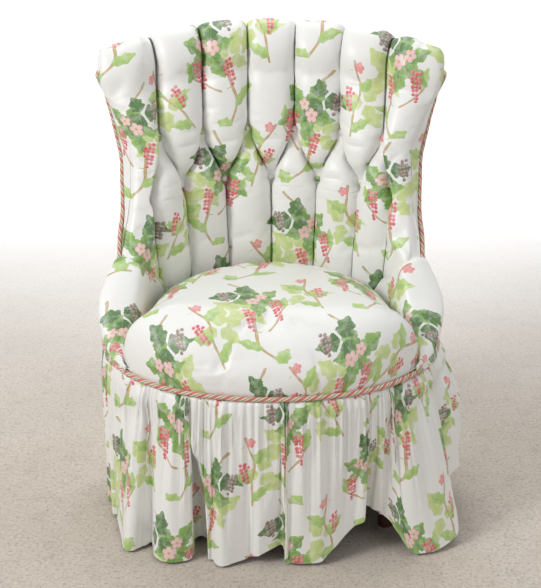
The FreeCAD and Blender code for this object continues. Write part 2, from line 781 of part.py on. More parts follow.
glide_profile = [
    ((0, "0"), (0, "0")),
    ((dim.glide_radius - dim.glide_height / 3, "dimensions.glide_radius - dimensions.glide_height / 3"),
     (0, "0")),
    ((dim.glide_radius, "dimensions.glide_radius"),
     (dim.glide_height / 2, "dimensions.glide_height / 2")),
    ((dim.glide_radius, "dimensions.glide_radius"), (dim.glide_height, "dimensions.glide_height")),
    ((0, "0"), (dim.glide_height, "dimensions.glide_height")),
]
for end, hand, front, side in CORNERS:
    turned(f"{end}_leg_{hand}", leg_profile, leg_places[(end, hand)])
    turned(f"glide_{end}_{hand}", glide_profile, leg_places[(end, hand)])


# Leg bolts: a stud from each leg up through its block, with a nut; one group of separate solids
def leg_bolt(axis):
    foot = axis + vec(0, 0, rail_bottom - dim.bolt_in_leg)
    block_top = rail_bottom + dim.corner_block_height
    length = dim.bolt_in_leg + dim.corner_block_height + 1.4 * dim.nut_height
    stud = Part.makeCylinder(dim.bolt_radius, length, foot)
    across = 1.85 * dim.bolt_radius
    seat = axis + vec(0, 0, block_top)
    turns = [math.radians(60 * index) for index in range(6)]
    corners = [seat + vec(across * math.cos(turn), across * math.sin(turn), 0) for turn in turns]
    return stud.fuse(prism(corners, vec(0, 0, dim.nut_height))).removeSplitter()


feature("leg_bolts", Part.Compound([leg_bolt(axis) for axis in leg_places.values()]))


# Back frame: two sawn posts bolted inside the rails, a crest rail and a lower back rail
def frame_front(height):
    """Distance behind the bed of the front of the back frame."""
    return back_outset(height) + dim.burlap_thickness + dim.webbing_thickness + 6 * dim.soft_gap


def plan_strip(along_from, along_to, near, far, height):
    """Closed outline in plan, concentric with the bed."""
    front, back = [bed_arc(along_from, along_to, outset, height) for outset in (near, far)]
    return strip_wire(front, back)


POST_ALONG = 2.08 * dim.tuft_pitch
POST_FOOT = rail_bottom + dim.corner_block_height + 1.6 * dim.nut_height
# height, depth as a share of the post's depth
POST_SHARES = [
    (POST_FOOT, 1), (dim.rail_top, 1), (seat_level(0.45), 1), (seat_level(1), 1), (row_level(1), 0.9),
    (crest_height(0, 0) - 0.78 * dim.crest_rail_height, 0.75),
]


def post(side, clearance=0):
    wires = []
    for height in levels_between(POST_SHARES[0][0], POST_SHARES[-1][0]):
        depth_share = table_value(POST_SHARES, height)[0]
        gather = bed(height)[1] / bed(dim.lower_row)[1]
        near = side * (POST_ALONG * min(1, gather) - clearance)
        far = near + side * (dim.post_width + 2 * clearance)
        front = frame_front(max(height, dim.rail_top))
        back = front + depth_share * dim.post_depth + clearance
        wires.append(plan_strip(near, far, front - clearance, back, height))
    return ruled_loft(wires)


def crest_rail():
    top = dim.crest_roll + 0.3 * CREST_RISE
    bottom = top - dim.crest_rail_height
    front = frame_front(dim.crest_roll)
    corner_along = bed_place(border_point(dim.crest_roll))[0]
    reach = corner_along - 1.9 * dim.puff
    wires = []
    for height in levels_between(bottom, dim.crest_roll) + [top]:
        wire = plan_strip(-reach, reach, front, front + dim.crest_rail_depth, min(height, dim.crest_roll))
        wire.translate(vec(0, 0, max(0, height - dim.crest_roll)))
        wires.append(wire)
    board = ruled_loft(wires)
    crown = (reach ** 2 + dim.crest_drop ** 2) / (2 * dim.crest_drop)
    deep = 2 * dim.seat_rear_depth
    barrel = Part.makeCylinder(crown, deep, vec(0, 0, top - crown), vec(0, 1, 0))
    return board.common(barrel)


def lower_back_rail():
    top = seat_level(0.45)
    wires = []
    for height in (top - dim.lower_back_rail_height, top):
        gather = bed(height)[1] / bed(dim.lower_row)[1]
        reach = POST_ALONG * gather - dim.soft_gap
        front = frame_front(height)
        wires.append(plan_strip(-reach, reach, front, front + 0.7 * dim.post_depth, height))
    return ruled_loft(wires)


pair("back_post", post(1))
feature("crest_rail", crest_rail())
feature("lower_back_rail", lower_back_rail())


# Back webbing, burlap, padding and cover, from the frame forward
def webbing_strip(along_from, along_to, heights):
    """A strip of webbing on the front of the back frame."""
    wires = []
    for height in heights:
        near = back_outset(height) + dim.burlap_thickness + 4 * dim.soft_gap
        far = near + dim.webbing_thickness
        scale = bed(height)[1] / bed(dim.lower_row)[1]
        wires.append(plan_strip(along_from * scale, along_to * scale, near, far, height))
    return ruled_loft(wires)


def back_webbing():
    reach = POST_ALONG + dim.post_width
    strips = []
    for middle in (seat_level(0.5), seat_level(0.8), row_level(0.3), row_level(1)):
        heights = levels_between(middle - dim.webbing_width / 2, middle + dim.webbing_width / 2)
        strips.append(webbing_strip(-reach, reach, heights))
    return Part.Compound(strips)


def back_burlap():
    """Burlap over the webbing, as wide as the frame."""
    wires = []
    for height in levels_between(seat_level(0.1), wing_level(0.85)):
        near = back_outset(height) + 3 * dim.soft_gap
        gather = min(1, bed(height)[1] / bed(dim.lower_row)[1])
        reach = (POST_ALONG + dim.post_width) * gather
        wires.append(plan_strip(-reach, reach, near, near + dim.burlap_thickness, height))
    return ruled_loft(wires)


feature("back_webbing", back_webbing())

# Buttons, each with its twine through the padding to the webbing
BUTTON_PLACES = [((column - 2.5) * dim.tuft_pitch, dim.upper_row) for column in range(6)]
BUTTON_PLACES += [((column - 3) * dim.tuft_pitch, dim.lower_row) for column in range(1, 6)]
BUTTON_PLACES += [(side * (3 * dim.tuft_pitch - OUTER_DRAW), dim.lower_row) for side in (-1, 1)]


def button(along, height):
    """A covered button: a low dome, seated in its pleats, facing along the bed's normal."""
    outward = (bed_point(along, 0, height) - bed_point(along, dim.puff, height)).normalize()
    seat = bed_point(along, -2 * dim.cloth, height)
    radius = dim.button_width / 2
    disc = Part.makeCylinder(radius, dim.button_thickness, seat, outward)
    rim = max(disc.Edges, key=lambda edge: edge.CenterOfMass.sub(seat).dot(outward))
    return disc.makeFillet(0.55 * dim.button_thickness, [rim])


def twine(along, height, radius):
    """From just behind the cover back to the webbing."""
    front = bed_point(along, dim.cloth + 3 * dim.soft_gap, height)
    back = bed_point(along, back_outset(height) + dim.burlap_thickness + 3.5 * dim.soft_gap, height)
    return Part.makeCylinder(radius, (back - front).Length, front, back - front)


def twines(radius):
    return Part.Compound([twine(along, height, radius) for along, height in BUTTON_PLACES])


feature("tufting_buttons", Part.Compound([button(along, height) for along, height in BUTTON_PLACES]))
feature("tufting_twine", twines(dim.twine_width / 2))
needle_holes = twines(dim.twine_width / 2 + dim.soft_gap / 3)
feature("back_burlap", back_burlap().cut(needle_holes))
feature("back_padding", back_padding().cut(needle_holes))
feature("inside_back_cover", inside_back_cover())

# Arms: low pads over sawn boards


def arm_level(share):
    return blend(dim.rail_top, dim.arm_top, share)


# Angle from the rear, inner reach as a share of the tub radius, top
ARM_SHARES = [
    (48, 0.865, arm_level(0.567)),
    (53, 0.845, arm_level(0.693)),
    (58, 0.822, arm_level(0.819)),
    (63, 0.800, arm_level(0.929)),
    (68, 0.781, arm_level(1)),
    (72, 0.768, arm_level(0.921)),
    (76, 0.760, arm_level(0.811)),
    (80, 0.758, arm_level(0.685)),
    (84, 0.765, arm_level(0.559)),
    (88, 0.780, arm_level(0.417)),
    (92, 0.803, arm_level(0.276)),
    (95.5, 0.812, arm_level(0.155)),
    (98, 0.812, arm_level(0.101)),
]
ARM_BORDER = [(angle, height, share * TUB_RADIUS) for height, angle, share in BORDER_SHARES[7::-1]]
TUB_FRONT = 0.8705 * TUB_RADIUS


def arm_row(angle, inner_share, top):
    """Cover points of one radial section of an arm: from the border over the top, down the inner side."""
    border_height, border_reach = table_value(ARM_BORDER, max(angle, ARM_BORDER[0][0]))
    inner = inner_share * TUB_RADIUS
    floor = dim.rail_top + dim.burlap_thickness + 3 * dim.soft_gap
    border_height = min(border_height, top - 0.1 * dim.puff)
    width = border_reach - inner
    fall = top - floor
    points = [
        (border_reach, border_height),
        (border_reach - 0.10 * width, blend(border_height, top, 0.7)),
        (border_reach - 0.36 * width, top),
        (inner + 0.16 * width, top - 0.10 * fall),
        (inner, top - 0.42 * fall),
        (inner + 0.01 * width, top - 0.72 * fall),
        (inner + 0.10 * width, floor),
    ]
    return [tub_point(angle, reach, height) for reach, height in points]


ARM_GRID = [arm_row(*row) for row in ARM_SHARES]
ARM_PLANES = (in_radial_plane(ARM_SHARES[0][0]), in_radial_plane(ARM_SHARES[-1][0]))


def tub_side_space():
    """The space that the inside back keeps beside the rear end of an arm."""
    bottom = dim.rail_top - dim.rail_depth
    height = dim.lower_row - bottom
    outer = Part.makeCylinder(2 * dim.seat_half_width, height, tub_point(0, 0, bottom))
    inner = Part.makeCylinder(TUB_FRONT, height, tub_point(0, 0, bottom))
    return outer.cut(inner).common(sector((0, 35, SIDE_JOINT_ANGLE + 0.3), bottom, bottom + height))


def arm_board(clearance):
    """A sawn board on the side rail, sloping down to the front."""
    thickness = dim.arm_board_thickness
    outset = -dim.rail_inset - 0.25 * thickness
    slab_top = dim.arm_board_top + clearance
    ring = band(outset + clearance, outset - thickness - clearance, dim.rail_top, slab_top)
    swept = ring.common(sector((47 - clearance, 70, 91 + clearance), dim.rail_top, slab_top))
    front = -dim.seat_front_depth
    slope_from = -0.02 * dim.seat_front_depth
    low = dim.rail_top + 3 * dim.cloth + clearance
    side_view = [vec(0, dim.seat_rear_depth, dim.rail_top), vec(0, dim.seat_rear_depth, slab_top),
                 vec(0, slope_from, slab_top), vec(0, 0.52 * front, low), vec(0, front, low),
                 vec(0, front, dim.rail_top)]
    return swept.common(prism(side_view, vec(2 * dim.seat_half_width, 0, 0)))


def arm_cover():
    inner = grid_offset(ARM_GRID, dim.cloth, *ARM_PLANES)
    shell = ruled_loft([strip_wire(outer, under) for outer, under in zip(ARM_GRID, inner)])
    return shell.cut(tub_side_space())


def arm_section(row, side):
    """A radial section: the cover's arcs, then straight down the outer side and back under the pad."""
    edges = arcs_through(row)
    corners = [row[-1]] + side + [row[0]]
    edges.extend(line(start, end) for start, end in zip(corners, corners[1:]))
    return Part.Wire(edges)


def arm_padding():
    outer = grid_offset(ARM_GRID, dim.cloth + 2 * dim.soft_gap, *ARM_PLANES)
    away = 3.4 * dim.cloth
    wires = []
    for station, row in zip(ARM_SHARES, outer):
        angle = station[0]
        floor = row[-1].z
        upper = row[0].z - dim.cloth
        heights = [blend(floor, upper, share) for share in (0, 0.5, 1)]
        side = [tub_point(angle, skin_reach(angle, height) - away, height) for height in heights]
        wires.append(arm_section(row, side))
    return ruled_loft(wires).cut(tub_side_space()).cut(arm_board(2 * dim.soft_gap))


pair("arm_board", arm_board(0))
pair("arm_padding", arm_padding())
pair("arm_cover", arm_cover())


# Outside cover: one cloth round the back and the outer sides of the arms, hung from the corded border
CORD_ROOM_ANGLE = math.degrees((dim.cloth + 2 * dim.soft_gap) / dim.seat_half_width)


def oval_joint_angle(front):
    """Angle from the rear, about the tub's axis, of a joint of the oval."""
    joint = oval_joint(front, 1, 0, 0)
    return math.degrees(math.atan2(joint.x, joint.y - TUB_AXIS.y))


def outside_shares():
    """Places round the outside cover, so that its arcs end where the arcs of the oval end."""
    widest = math.degrees(math.atan2(dim.seat_half_width, dim.tub_axis_forward))
    ends = [0, oval_joint_angle(False), widest, BORDER_SHARES[0][1] - CORD_ROOM_ANGLE]
    half = [0]
    for start, end in zip(ends, ends[1:]):
        half += [(start + end) / 2, end]
    return [-angle / ends[-1] for angle in half[:0:-1]] + [angle / ends[-1] for angle in half]


OUTSIDE_SHARES = outside_shares()


def outside_row(height, depth):
    edge = border_angle(max(height, BORDER_SHARES[0][0])) - CORD_ROOM_ANGLE
    angles = [share * edge for share in OUTSIDE_SHARES]
    return [tub_point(angle, skin_reach(angle, height) - depth, height) for angle in angles]


def outside_seam_row(depth):
    """Upper edge of the outside cover, in the plane of the crest seam."""
    corner_along = bed_place(border_point(dim.crest_roll))[0]
    reach = corner_along - 0.9 * dim.puff
    outset = CREST_SHARES[-1][0][0] * CREST_RISE - dim.cloth - depth
    row = []
    for share in OUTSIDE_SHARES:
        point = bed_point(share * reach, outset, dim.crest_roll)
        row.append(on_seam_plane(point) - vec(0, 0, dim.cord_width / 3))
    return row


def outside_back_cover():
    heights = [dim.rail_top - dim.band_height + dim.cloth, dim.rail_top + 0.86 * dim.cord_width,
               BORDER_SHARES[0][0]]
    heights += [row[0] for row in BORDER_SHARES[1:CORNER_ROW + 1]]
    wires = [strip_wire(outside_row(height, 0), outside_row(height, dim.cloth)) for height in heights]
    wires.append(strip_wire(outside_seam_row(0), outside_seam_row(dim.cloth)))
    return ruled_loft(wires)


feature("outside_back_cover", outside_back_cover())

# Seat: burlap on the rails, springs tied between webbing and burlap, edge roll, stuffing, cover
burlap_bottom = dim.rail_top + dim.soft_gap
seat_floor = burlap_bottom + dim.burlap_thickness + dim.soft_gap


# Seat outline round the tub's axis: angle from the rear, reach as a share of the tub radius
SEAT_SHARES = [
    (0, 0.866), (24, 0.866), (44, 0.863), (50, 0.852), (58, 0.812), (68, 0.770), (76, 0.749),
    (84, 0.750), (92, 0.778), (97, 0.797), (101, 0.820),
]
# Crown of the seat: share of the rise, and how far it has drawn in at the front, sides and rear,
# as shares of the front depth
CROWN_SHARES = [
    (0.0, 0.0, 0.0, 0.0),
    (0.13, -0.012, 0.0, 0.0),
    (0.30, -0.006, 0.0, 0.0),
    (0.46, 0.022, 0.006, 0.0),
    (0.62, 0.072, 0.022, 0.008),
    (0.76, 0.150, 0.066, 0.030),
    (0.87, 0.255, 0.150, 0.080),
    (0.95, 0.400, 0.290, 0.190),
    (1.0, 0.600, 0.500, 0.420),
]
SEAT_ANGLES = [0, 22, 44, 51, 60, 68, 76, 88.5, 101, 112, 124, 138, 152, 166, 180]


def seat_reach(angle):
    if angle > SEAT_SHARES[-1][0]:
        return oval_reach(angle, -COVER_INSET)
    return table_value(SEAT_SHARES, angle)[0] * TUB_RADIUS


def seat_ring(crown, depth):
    """One closed outline of the seat, by arcs through points round the tub's axis."""
    share, front, side, rear = crown
    height = blend(seat_floor, dim.seat_crown, share)
    height = height - depth * min(1, 2 * share)
    points = []
    for angle in SEAT_ANGLES + [360 - angle for angle in SEAT_ANGLES[-2:0:-1]] + [360]:
        turn = math.radians(angle)
        to_front = (1 - math.cos(turn)) / 2
        ends = blend(rear, front, to_front)
        drawn = blend(ends, side, math.sin(turn) ** 2 * (0.5 if to_front > 0.5 else 0.8))
        reach = seat_reach(min(angle, 360 - angle)) - drawn * dim.seat_front_depth - depth
        points.append(tub_point(angle, max(reach, depth + dim.cloth), height))
    return Part.Wire(arcs_through(points))


def seat_form(depth):
    return ruled_loft([seat_ring(crown, depth) for crown in CROWN_SHARES])


def seat_cover():
    """The domed cover, with its flap tacked down the front rail."""
    dome = seat_form(0).cut(seat_form(dim.cloth))
    bottom = dim.rail_top - dim.band_height + dim.cloth
    edge = BORDER_SHARES[0][1] + 2 * CORD_ROOM_ANGLE
    front = sector((edge, 140, 180, 220, 360 - edge), bottom, seat_floor)
    flap = band(-COVER_INSET, -COVER_INSET - dim.cloth, bottom, seat_floor)
    return dome.fuse(flap.common(front))


def edge_roll(radius):
    """A stuffed roll on the rail, round the front of the seat."""
    half_oval = corner_arc(True)
    middle = -dim.rail_inset - dim.rail_thickness / 2
    height = seat_floor + dim.edge_roll_width / 2
    reach = half_oval.corner + middle
    joint = oval_joint(True, 1, middle, height)
    joint_turn = math.atan2(-joint.y, joint.x - half_oval.centre)
    start_turn = 0.62 * joint_turn

    def on_corner(turn, side):
        return vec(side * (half_oval.centre + reach * math.cos(turn)), -reach * math.sin(turn), height)

    middle_turn = (start_turn + joint_turn) / 2
    left = oval_joint(True, -1, middle, height)
    path = Part.Wire([
        Part.Arc(on_corner(start_turn, -1), on_corner(middle_turn, -1), left).toShape(),
        Part.Arc(left, vec(0, -half_oval.depth - middle, height), joint).toShape(),
        Part.Arc(joint, on_corner(middle_turn, 1), on_corner(start_turn, 1)).toShape(),
    ])
    start = path.Edges[0]
    place = start.valueAt(start.FirstParameter)
    section = Part.Wire(Part.makeCircle(radius, place, start.tangentAt(start.FirstParameter)))
    return path.makePipeShell([section], True, False)


def seat_padding():
    room = 2 * dim.soft_gap
    return seat_form(dim.cloth + room).cut(edge_roll(dim.edge_roll_width / 2 + room))


feature("seat_cover", seat_cover())
feature("seat_padding", seat_padding())
feature("seat_edge_roll", edge_roll(dim.edge_roll_width / 2))


def oval_outline(outset):
    """The oval as sketch arcs."""
    outline = []
    for front in (True, False):
        left = oval_joint(front, -1, outset, 0)
        right = oval_joint(front, 1, outset, 0)
        crown = vec(0, (corner_arc(front).depth + outset) * (-1 if front else 1), 0)
        outline.append(arc_between(left, crown, right))
        for side in (-1, 1):
            outline.append(corner_piece(front, side, 0, joint_degrees(front), outset))
    return outline


def seat_burlap():
    tacked = -dim.rail_inset - 0.78 * dim.rail_thickness
    cloth = Part.Face(oval_wire(tacked, burlap_bottom)).extrude(vec(0, 0, dim.burlap_thickness))
    return cloth.cut(post(1, dim.soft_gap)).cut(post(-1, dim.soft_gap))


feature("seat_burlap", seat_burlap())
leg_holes = [[Part.Circle(axis, vec(0, 0, 1), dim.leg_top_radius + 3 * dim.soft_gap)]
             for axis in leg_places.values()]
WEBBING_ROOM = " - 2 * dimensions.webbing_thickness - 3 * dimensions.soft_gap"
slab("dust_cover", [oval_outline(-dim.rail_inset - dim.rail_thickness / 3)] + leg_holes,
     RAIL_BOTTOM + WEBBING_ROOM + " - dimensions.dust_cover_thickness", "dimensions.dust_cover_thickness")


# Seat webbing: two layers tacked under the rails
def oval_half_depth(x, front, outset):
    """Depth of the front or rear arc of the oval at a place across it."""
    half_oval = corner_arc(front)
    return math.sqrt((half_oval.big + outset) ** 2 - x ** 2) - half_oval.big_centre


def oval_half_width(y, outset):
    """Half width of the oval at a place along it."""
    half_oval = corner_arc(y < 0)
    return half_oval.centre + math.sqrt((half_oval.corner + outset) ** 2 - y ** 2)


def strip_box(low, high):
    size = high - low
    return Part.makeBox(size.x, size.y, size.z, low)


webbing_pitch = 2 * dim.spring_radius + dim.spring_wire + dim.webbing_width / 10
tack_line = -dim.rail_inset - 0.55 * dim.rail_thickness
layer = [rail_bottom - count * (dim.soft_gap + dim.webbing_thickness) for count in (1, 2)]
lengthwise = []
crosswise = []
for share in (-1, 0, 1):
    middle = share * webbing_pitch
    half = dim.webbing_width / 2
    reach = abs(middle) + half
    low = vec(middle - half, -oval_half_depth(reach, True, tack_line), layer[0])
    high = vec(middle + half, oval_half_depth(reach, False, tack_line), layer[0] + dim.webbing_thickness)
    lengthwise.append(strip_box(low, high))
    side_reach = min(oval_half_width(middle + edge, tack_line) for edge in (-half, half))
    low = vec(-side_reach, middle - half, layer[1])
    high = vec(side_reach, middle + half, layer[1] + dim.webbing_thickness)
    crosswise.append(strip_box(low, high))
feature("seat_webbing_lengthwise", Part.Compound(lengthwise))
feature("seat_webbing_crosswise", Part.Compound(crosswise))


# Springs: nine coils standing on the webbing, of quarter-turn arcs
STEPS_PER_TURN = 8
WAIST_SHARE = 0.22
CLOSED_END_SHARE = 0.7


def coil_points(foot_x, foot_y):
    """Middle of the wire: drawn in at the waist, with flatter turns at both ends."""
    bottom = layer[0] + dim.webbing_thickness + dim.soft_gap + dim.spring_wire / 2
    top = burlap_bottom - 2 * dim.twine_width - 3 * dim.soft_gap - dim.spring_wire / 2
    steps = int(dim.spring_turns) * STEPS_PER_TURN
    points = []
    for step in range(steps + 1):
        share = step / steps
        turn = 2 * math.pi * step / STEPS_PER_TURN + math.pi / 2
        reach = dim.spring_radius * (1 - WAIST_SHARE * math.sin(math.pi * share))
        rise = share - CLOSED_END_SHARE * math.sin(2 * math.pi * share) / (2 * math.pi)
        points.append(vec(foot_x + reach * math.cos(turn), foot_y + reach * math.sin(turn),
                          blend(bottom, top, rise)))
    return points


def coil_spring(foot_x, foot_y):
    points = coil_points(foot_x, foot_y)
    path = Part.Wire(arcs_through(points))
    start = path.Edges[0]
    tangent = start.tangentAt(start.FirstParameter)
    section = Part.Wire(Part.makeCircle(dim.spring_wire / 2, points[0], tangent))
    return path.makePipeShell([section], True, False)


spring_line = coil_points(0, 0)
turn_gaps = [(after - before).Length - dim.spring_wire
             for before, after in zip(spring_line, spring_line[STEPS_PER_TURN:])]
print("least gap between the turns of a spring:", round(min(turn_gaps), 2))
for row in (-1, 0, 1):
    for column in (-1, 0, 1):
        spring = coil_spring(column * webbing_pitch, row * webbing_pitch)
        feature(f"seat_spring_{3 * row + column + 5}", spring)

# Spring twine: lines tied over the springs from rail to rail, in two layers
twine_lines = []
for index, share in enumerate((-1, 0, 1)):
    radius = dim.twine_width / 2
    place = share * webbing_pitch
    upper = burlap_bottom - dim.soft_gap - radius
    lower = upper - dim.twine_width - dim.soft_gap
    inner = -dim.rail_inset - dim.rail_thickness - dim.soft_gap
    front = -oval_half_depth(abs(place), True, inner)
    rear = oval_half_depth(abs(place), False, inner)
    twine_lines.append(Part.makeCylinder(radius, rear - front, vec(place, front, lower), vec(0, 1, 0)))
    reach = min(oval_half_width(place + edge, inner) for edge in (-radius, radius))
    twine_lines.append(Part.makeCylinder(radius, 2 * reach, vec(-reach, place, upper), vec(1, 0, 0)))
feature("spring_twine", Part.Compound(twine_lines))

# Skirt: cloth gathered on a tape that is tacked over the covers; its folds open towards the hem.
# Angle from the front, anticlockwise from above, and outset of each fold at the hem, as shares of the
# seat's front depth; crests and valleys in turn
FOLD_SHARES = [
    (2, 0.03), (10, 0.125), (35, -0.045), (47, 0.165), (57, 0.065), (68, 0.225), (80, 0.03), (92, 0.14),
    (103, 0.015), (115, 0.125), (127, 0.0), (140, 0.135), (152, 0.015), (165, 0.12), (178, 0.005),
    (191, 0.135), (204, 0.0), (217, 0.125), (229, 0.02), (241, 0.135), (253, 0.01), (265, 0.125),
    (277, 0.01), (289, 0.14), (301, 0.015), (313, 0.175), (320, 0.05), (327, 0.13), (337, -0.03),
    (347, 0.12),
]


def oval_from_middle(angle, outset):
    """A point of the oval by its angle from the front about the middle of the seat."""
    turn = math.radians(angle)
    direction = vec(math.sin(turn), -math.cos(turn), 0)
    front = direction.y <= 0
    half_oval = corner_arc(front)
    joint = oval_joint(front, 1, outset, 0)
    on_corner = abs(direction.x) * abs(joint.y) > abs(direction.y) * joint.x
    if on_corner:
        circle = vec(math.copysign(half_oval.centre, direction.x), 0, 0)
        radius = half_oval.corner + outset
    else:
        circle = vec(0, half_oval.big_centre if front else -half_oval.big_centre, 0)
        radius = half_oval.big + outset
    return direction * ray_on_circle(vec(0, 0, 0), direction, circle, radius)


def fold_ring(height, depth_share, mean, inward):
    """One closed row of folds: through the crests, the valleys and the turns between them."""
    points = []
    count = len(FOLD_SHARES)
    for index in range(count):
        angle, outset = FOLD_SHARES[index]
        next_angle, next_outset = FOLD_SHARES[(index + 1) % count]
        next_angle += 360 if next_angle < angle else 0
        for place, reach in ((angle, outset), ((angle + next_angle) / 2, (outset + next_outset) / 2)):
            swing = mean + depth_share * reach * dim.seat_front_depth - inward
            point = oval_from_middle(place, swing)
            points.append(vec(point.x, point.y, height))
    start = points[-1]
    return Part.Wire(arcs_through([start] + points))


# The twisted cord over the skirt seam; the gathered edge ends just under it
cord_level = dim.rail_top + 0.3 * dim.cord_width
skirt_top = cord_level - dim.cord_width / 2 - dim.soft_gap


# Height and depth of the folds, as shares of the skirt's drop and of their depth at the hem
SKIRT_SHARES = [(0, 1), (0.55, 0.62), (1, 0.07)]


def skirt():
    swell = dim.skirt_cloth / 2 - dim.cloth + 2 * dim.soft_gap
    faces = []
    for inward in (0, dim.skirt_cloth):
        rings = []
        for rise_share, depth_share in SKIRT_SHARES:
            height = blend(dim.skirt_hem_gap, skirt_top, rise_share)
            rings.append(fold_ring(height, depth_share, swell, inward))
        faces.append(ruled_loft(rings))
    return faces[0].cut(faces[1])


band_outset = -COVER_INSET + dim.soft_gap
feature("skirt_band", band(band_outset + dim.cloth, band_outset, skirt_top - dim.band_height,
                           skirt_top - dim.soft_gap))
feature("skirt", skirt())


# Cords: tubes of straight runs joined by tangent arcs, or of the oval's own arcs
def skirt_cord():
    outset = -COVER_INSET + dim.cord_width / 2 + 2 * dim.soft_gap
    path = oval_wire(outset, cord_level)
    start = path.Edges[0]
    place = start.valueAt(start.FirstParameter)
    section = Part.Wire(Part.makeCircle(dim.cord_width / 2, place, start.tangentAt(start.FirstParameter)))
    return path.makePipeShell([section], True, False)


def rounded_route(points):
    """Straight runs joined by tangent arcs, each as large as its two runs allow."""
    edges = []
    start = points[0]
    for before, corner, after in zip(points, points[1:], points[2:]):
        back = before - corner
        ahead = after - corner
        setback = 0.45 * min(back.Length, ahead.Length)
        back.normalize()
        ahead.normalize()
        half_turn = (math.pi - back.getAngle(ahead)) / 2
        enter = corner + back * setback
        leave = corner + ahead * setback
        radius = setback / math.tan(half_turn)
        inward = (back + ahead).normalize()
        middle = corner + inward * (math.hypot(radius, setback) - radius)
        edges.append(line(start, enter))
        edges.append(Part.Arc(enter, middle, leave).toShape())
        start = leave
    edges.append(line(start, points[-1]))
    return Part.Wire(edges)


CORD_LIFT = dim.cord_width / 2 + dim.cloth
CREST_RUNS = 17


def lifted(seams):
    """Centres of a cord over a seam: each seam point moved away from the two covers that meet there."""
    points = []
    for index, (seam, inside, outside) in enumerate(seams):
        before = seams[max(0, index - 1)][0]
        after = seams[min(len(seams) - 1, index + 1)][0]
        run = (after - before).normalize()
        away = vec(0, 0, 0)
        for cover in (inside, outside):
            way = cover - seam
            way = way - run * way.dot(run)
            away = away - way.normalize()
        points.append(seam + away.normalize() * CORD_LIFT)
    return points


def arm_seams():
    """Seam, inside and outside points up the arm."""
    rows = BORDER_SHARES[1:8]
    heights = [rows[0][0]]
    for low, high in zip(rows, rows[1:]):
        heights += [(low[0] + high[0]) / 2, high[0]]
    seams = []
    for height in heights:
        angle = border_angle(height)
        inner_share, top = table_value(ARM_SHARES, angle)
        outside = tub_point(angle - 3, skin_reach(angle - 3, height), height)
        seams.append((border_point(height), arm_row(angle, inner_share, top)[1], outside))
    return seams


def wing_rows():
    """Rows of the back that carry a point of the cord: every second one up the wing, then each one."""
    up_the_wing = [4] + list(range(5, 16, 2))
    return up_the_wing + [16, 17, 18] + list(range(20, 26))


def wing_seams():
    """Up the edge of the wing and round the corner of the crest."""
    height, angle, share = BORDER_SHARES[CORNER_ROW]
    side_top = tub_point(angle, share * TUB_RADIUS, height)
    crest_end = outside_seam_row(0)[-1]
    inward = vec(-0.4 * dim.puff, 0.1 * dim.puff, -0.4 * dim.puff)
    seams = []
    for k in wing_rows():
        seam = GRID[k][-1]
        if k < len(STATIONS):
            angle = border_angle(seam.z) - 3
            outside = tub_point(angle, skin_reach(angle, seam.z), seam.z)
        else:
            share = (k - len(STATIONS) + 1) / len(CREST_SHARES)
            outside = side_top + (crest_end - side_top) * share + inward
        seams.append((seam, GRID[k][-2], outside))
    return seams


def crest_cord_points():
    corner_along = bed_place(border_point(dim.crest_roll))[0]
    reach = corner_along - 0.9 * dim.puff
    outset = CREST_SHARES[-1][0][0] * CREST_RISE
    points = []
    for index in range(1, CREST_RUNS):
        along = reach * (1 - 2 * index / CREST_RUNS)
        seam = on_seam_plane(bed_point(along, outset, dim.crest_roll))
        point = bed_point(along, outset + CORD_LIFT + dim.cloth, dim.crest_roll)
        points.append(vec(point.x, point.y, seam.z))
    return points


def border_cord():
    right = lifted(arm_seams() + wing_seams())
    left = [vec(-point.x, point.y, point.z) for point in right[::-1]]
    points = right + crest_cord_points() + left
    path = rounded_route(points)
    section = Part.Wire(Part.makeCircle(dim.cord_width / 2, points[0], points[1] - points[0]))
    return path.makePipeShell([section], True, False)


feature("skirt_cord", skirt_cord())
feature("back_edge_cord", border_cord())


# Checks and export
for piece in parts:
    piece.Placement.Base = piece.Placement.Base + vec(0, dim.widest_line_back, 0)
doc.recompute()
for item in doc.Objects:
    if "Invalid" in item.State or "Error" in item.State:
        raise RuntimeError("failed: " + item.Label)
for piece in parts:
    if piece.Shape.isNull() or not piece.Shape.isValid():
        raise RuntimeError("not a valid shape: " + piece.Label)
os.makedirs("parts", exist_ok=True)
for piece in parts:
    piece.Shape.exportStep(f"parts/{piece.Label}.step")
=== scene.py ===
# A slipper chair: tufted tub back with rolled wings, low padded arms, a domed sprung seat, twisted cord
# along its seams and a gathered skirt over turned legs. Metres, +Z up, the sitter faces -Y.
import math

import bpy
import numpy as np
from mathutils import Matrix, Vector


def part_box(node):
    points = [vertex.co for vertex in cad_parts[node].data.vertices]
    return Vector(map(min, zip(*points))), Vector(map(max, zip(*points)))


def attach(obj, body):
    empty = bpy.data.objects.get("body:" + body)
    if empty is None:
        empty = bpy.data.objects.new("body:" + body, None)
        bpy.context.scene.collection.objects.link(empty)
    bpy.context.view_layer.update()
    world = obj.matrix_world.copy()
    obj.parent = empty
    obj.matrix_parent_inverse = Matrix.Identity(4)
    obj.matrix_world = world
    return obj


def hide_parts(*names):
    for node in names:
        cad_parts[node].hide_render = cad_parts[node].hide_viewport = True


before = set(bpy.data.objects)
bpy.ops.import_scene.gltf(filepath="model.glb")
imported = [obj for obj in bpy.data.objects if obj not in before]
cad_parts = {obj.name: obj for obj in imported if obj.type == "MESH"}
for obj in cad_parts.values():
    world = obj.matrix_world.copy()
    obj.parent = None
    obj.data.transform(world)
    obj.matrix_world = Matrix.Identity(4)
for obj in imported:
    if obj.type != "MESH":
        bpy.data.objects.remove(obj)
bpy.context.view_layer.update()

# The view: the chair from the front, at a standing person's height, a little above the crest.
# A long lens from two and a half metres keeps the sides of the skirt nearly upright.
CHAIR_MIDDLE = (0, 0.013, 0.42)
